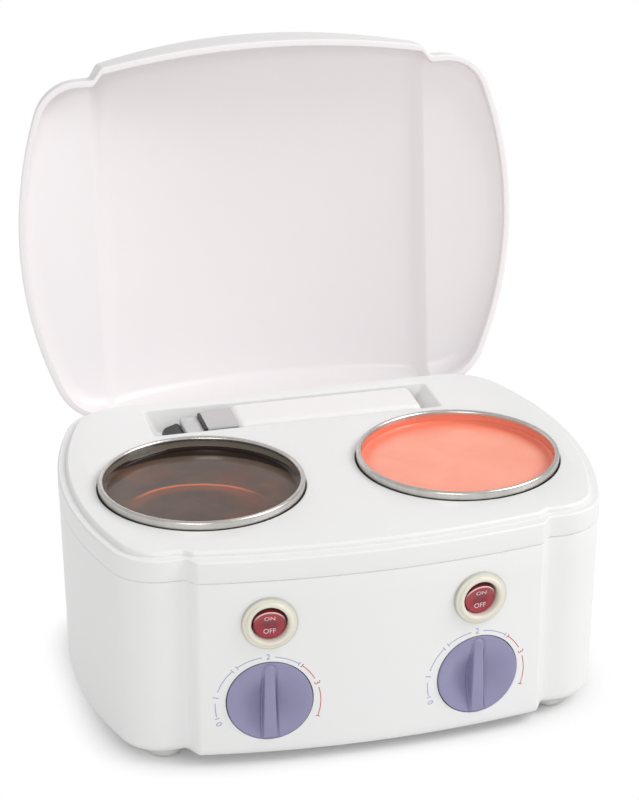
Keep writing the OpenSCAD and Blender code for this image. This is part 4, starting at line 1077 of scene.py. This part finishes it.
def knob_top(u, v):
    """Height of the knob's outer face over the panel."""
    away = math.hypot(max(0.0, abs(u) - HOLLOW_X), (v + 3.0) * 0.84) / HOLLOW_R
    low = KNOB_FACE - HOLLOW_DEEP * max(0.0, 1 - away * away) ** 2
    half = FIN_HALF + 0.9 * clip((FIN_HEAD - v) / (FIN_HEAD - FIN_FOOT))
    gone = math.hypot(u, v - FIN_HEAD) - FIN_HALF if v > FIN_HEAD else abs(u) - half
    gone = max(gone, math.hypot(u, v) - KNOB_R + 0.5)
    low -= 0.45 * math.exp(-((gone - 0.55) / 0.5) ** 2)
    crest = FIN_TOP - 0.45 * max(0.0, 1 + min(0, gone) / 0.9) ** 2
    return low + max(0.0, crest - low) * ease(clip((0.22 - gone) / 0.44))


def knob_form(place):
    form = Form()
    under = [(SHAFT_R, -1.3), (SHAFT_R, -6.1), (BOSS_R, -6.1), (BOSS_R, KNOB_BACK), (KNOB_R - 0.4, KNOB_BACK),
             (KNOB_R, KNOB_BACK + 0.4)]
    rings = [raised(circle(r, KNOB_STEPS), z) for r, z in under]
    edge = [(KNOB_R, 0.4), (KNOB_R - 0.12, 0.12), (KNOB_R - 0.4, 0.0)]
    for r, drop in edge + [(r, 0.0) for r in np.linspace(KNOB_R - 0.6, 0.0, 92)]:
        rings.append([(u, v, knob_top(u, v) - drop) for u, v in circle(r, KNOB_STEPS)])
    form.faces.append(tuple(form.stack([moved(r, place) for r in rings])[0]))
    return form


for side, name in ((-1, "left"), (1, "right")):
    knob = knob_form(on_panel(side, KNOB_Z))
    piece(name + "_dial_knob", knob, knob_paint, name + "_knob", [name + "_knob"], 60)
steel = metal_paint("plated_steel", (0.6, 0.6, 0.61), 0.28, 0.0015)
keep(both("shaft", "thermostat_nut", "hinge_pin"), steel)
keep(both("thermostat"), moulded_paint("thermostat_ceramic", (0.55, 0.48, 0.33), 0.6))

# Mains inlet
# At the rear left a moulded bush lines the cord's hole, and inside a saddle clamp and a terminal block wait
# for the cord, which isn't part of this model.
keep(["cord_bush"], moulded_paint("bush_white", (0.7, 0.7, 0.68), 0.4, 0.05))
keep(["terminal_block", "cord_clamp"], moulded_paint("nylon", (0.72, 0.69, 0.58), 0.4, 0.06))

# Feet and screws
# Four off-white rubber feet are screwed to the floor of the tub, each through a counterbored hole. The
# screws of the whole warmer are plated steel.
FEET = {"front_left": (-96.3, -65.5), "front_right": (96.3, -65.5), "rear_left": (-93, 76), "rear_right": (93, 76)}
foot_paint = moulded_paint("foot_rubber", (0.66, 0.65, 0.63), 0.6, 0.06)
foot_profile = ([(1.7, 6), (1.7, 3.5), (3.2, 3.5), (3.2, 0.25), (3.45, 0)] + bend(6, 3, 3, -90, 90, 8)
                + [(9, 5.5), (8.6, 6)])
for name, (x, y) in FEET.items():
    foot = lathe(foot_profile, 72, at(x, y), close=True)
    piece(name + "_foot_rubber", foot, foot_paint, "base", [name + "_foot"], 45)
keep(["housing_screws", "foot_screws", "well_screws", "clamp_screws", "terminal_screws"], steel)
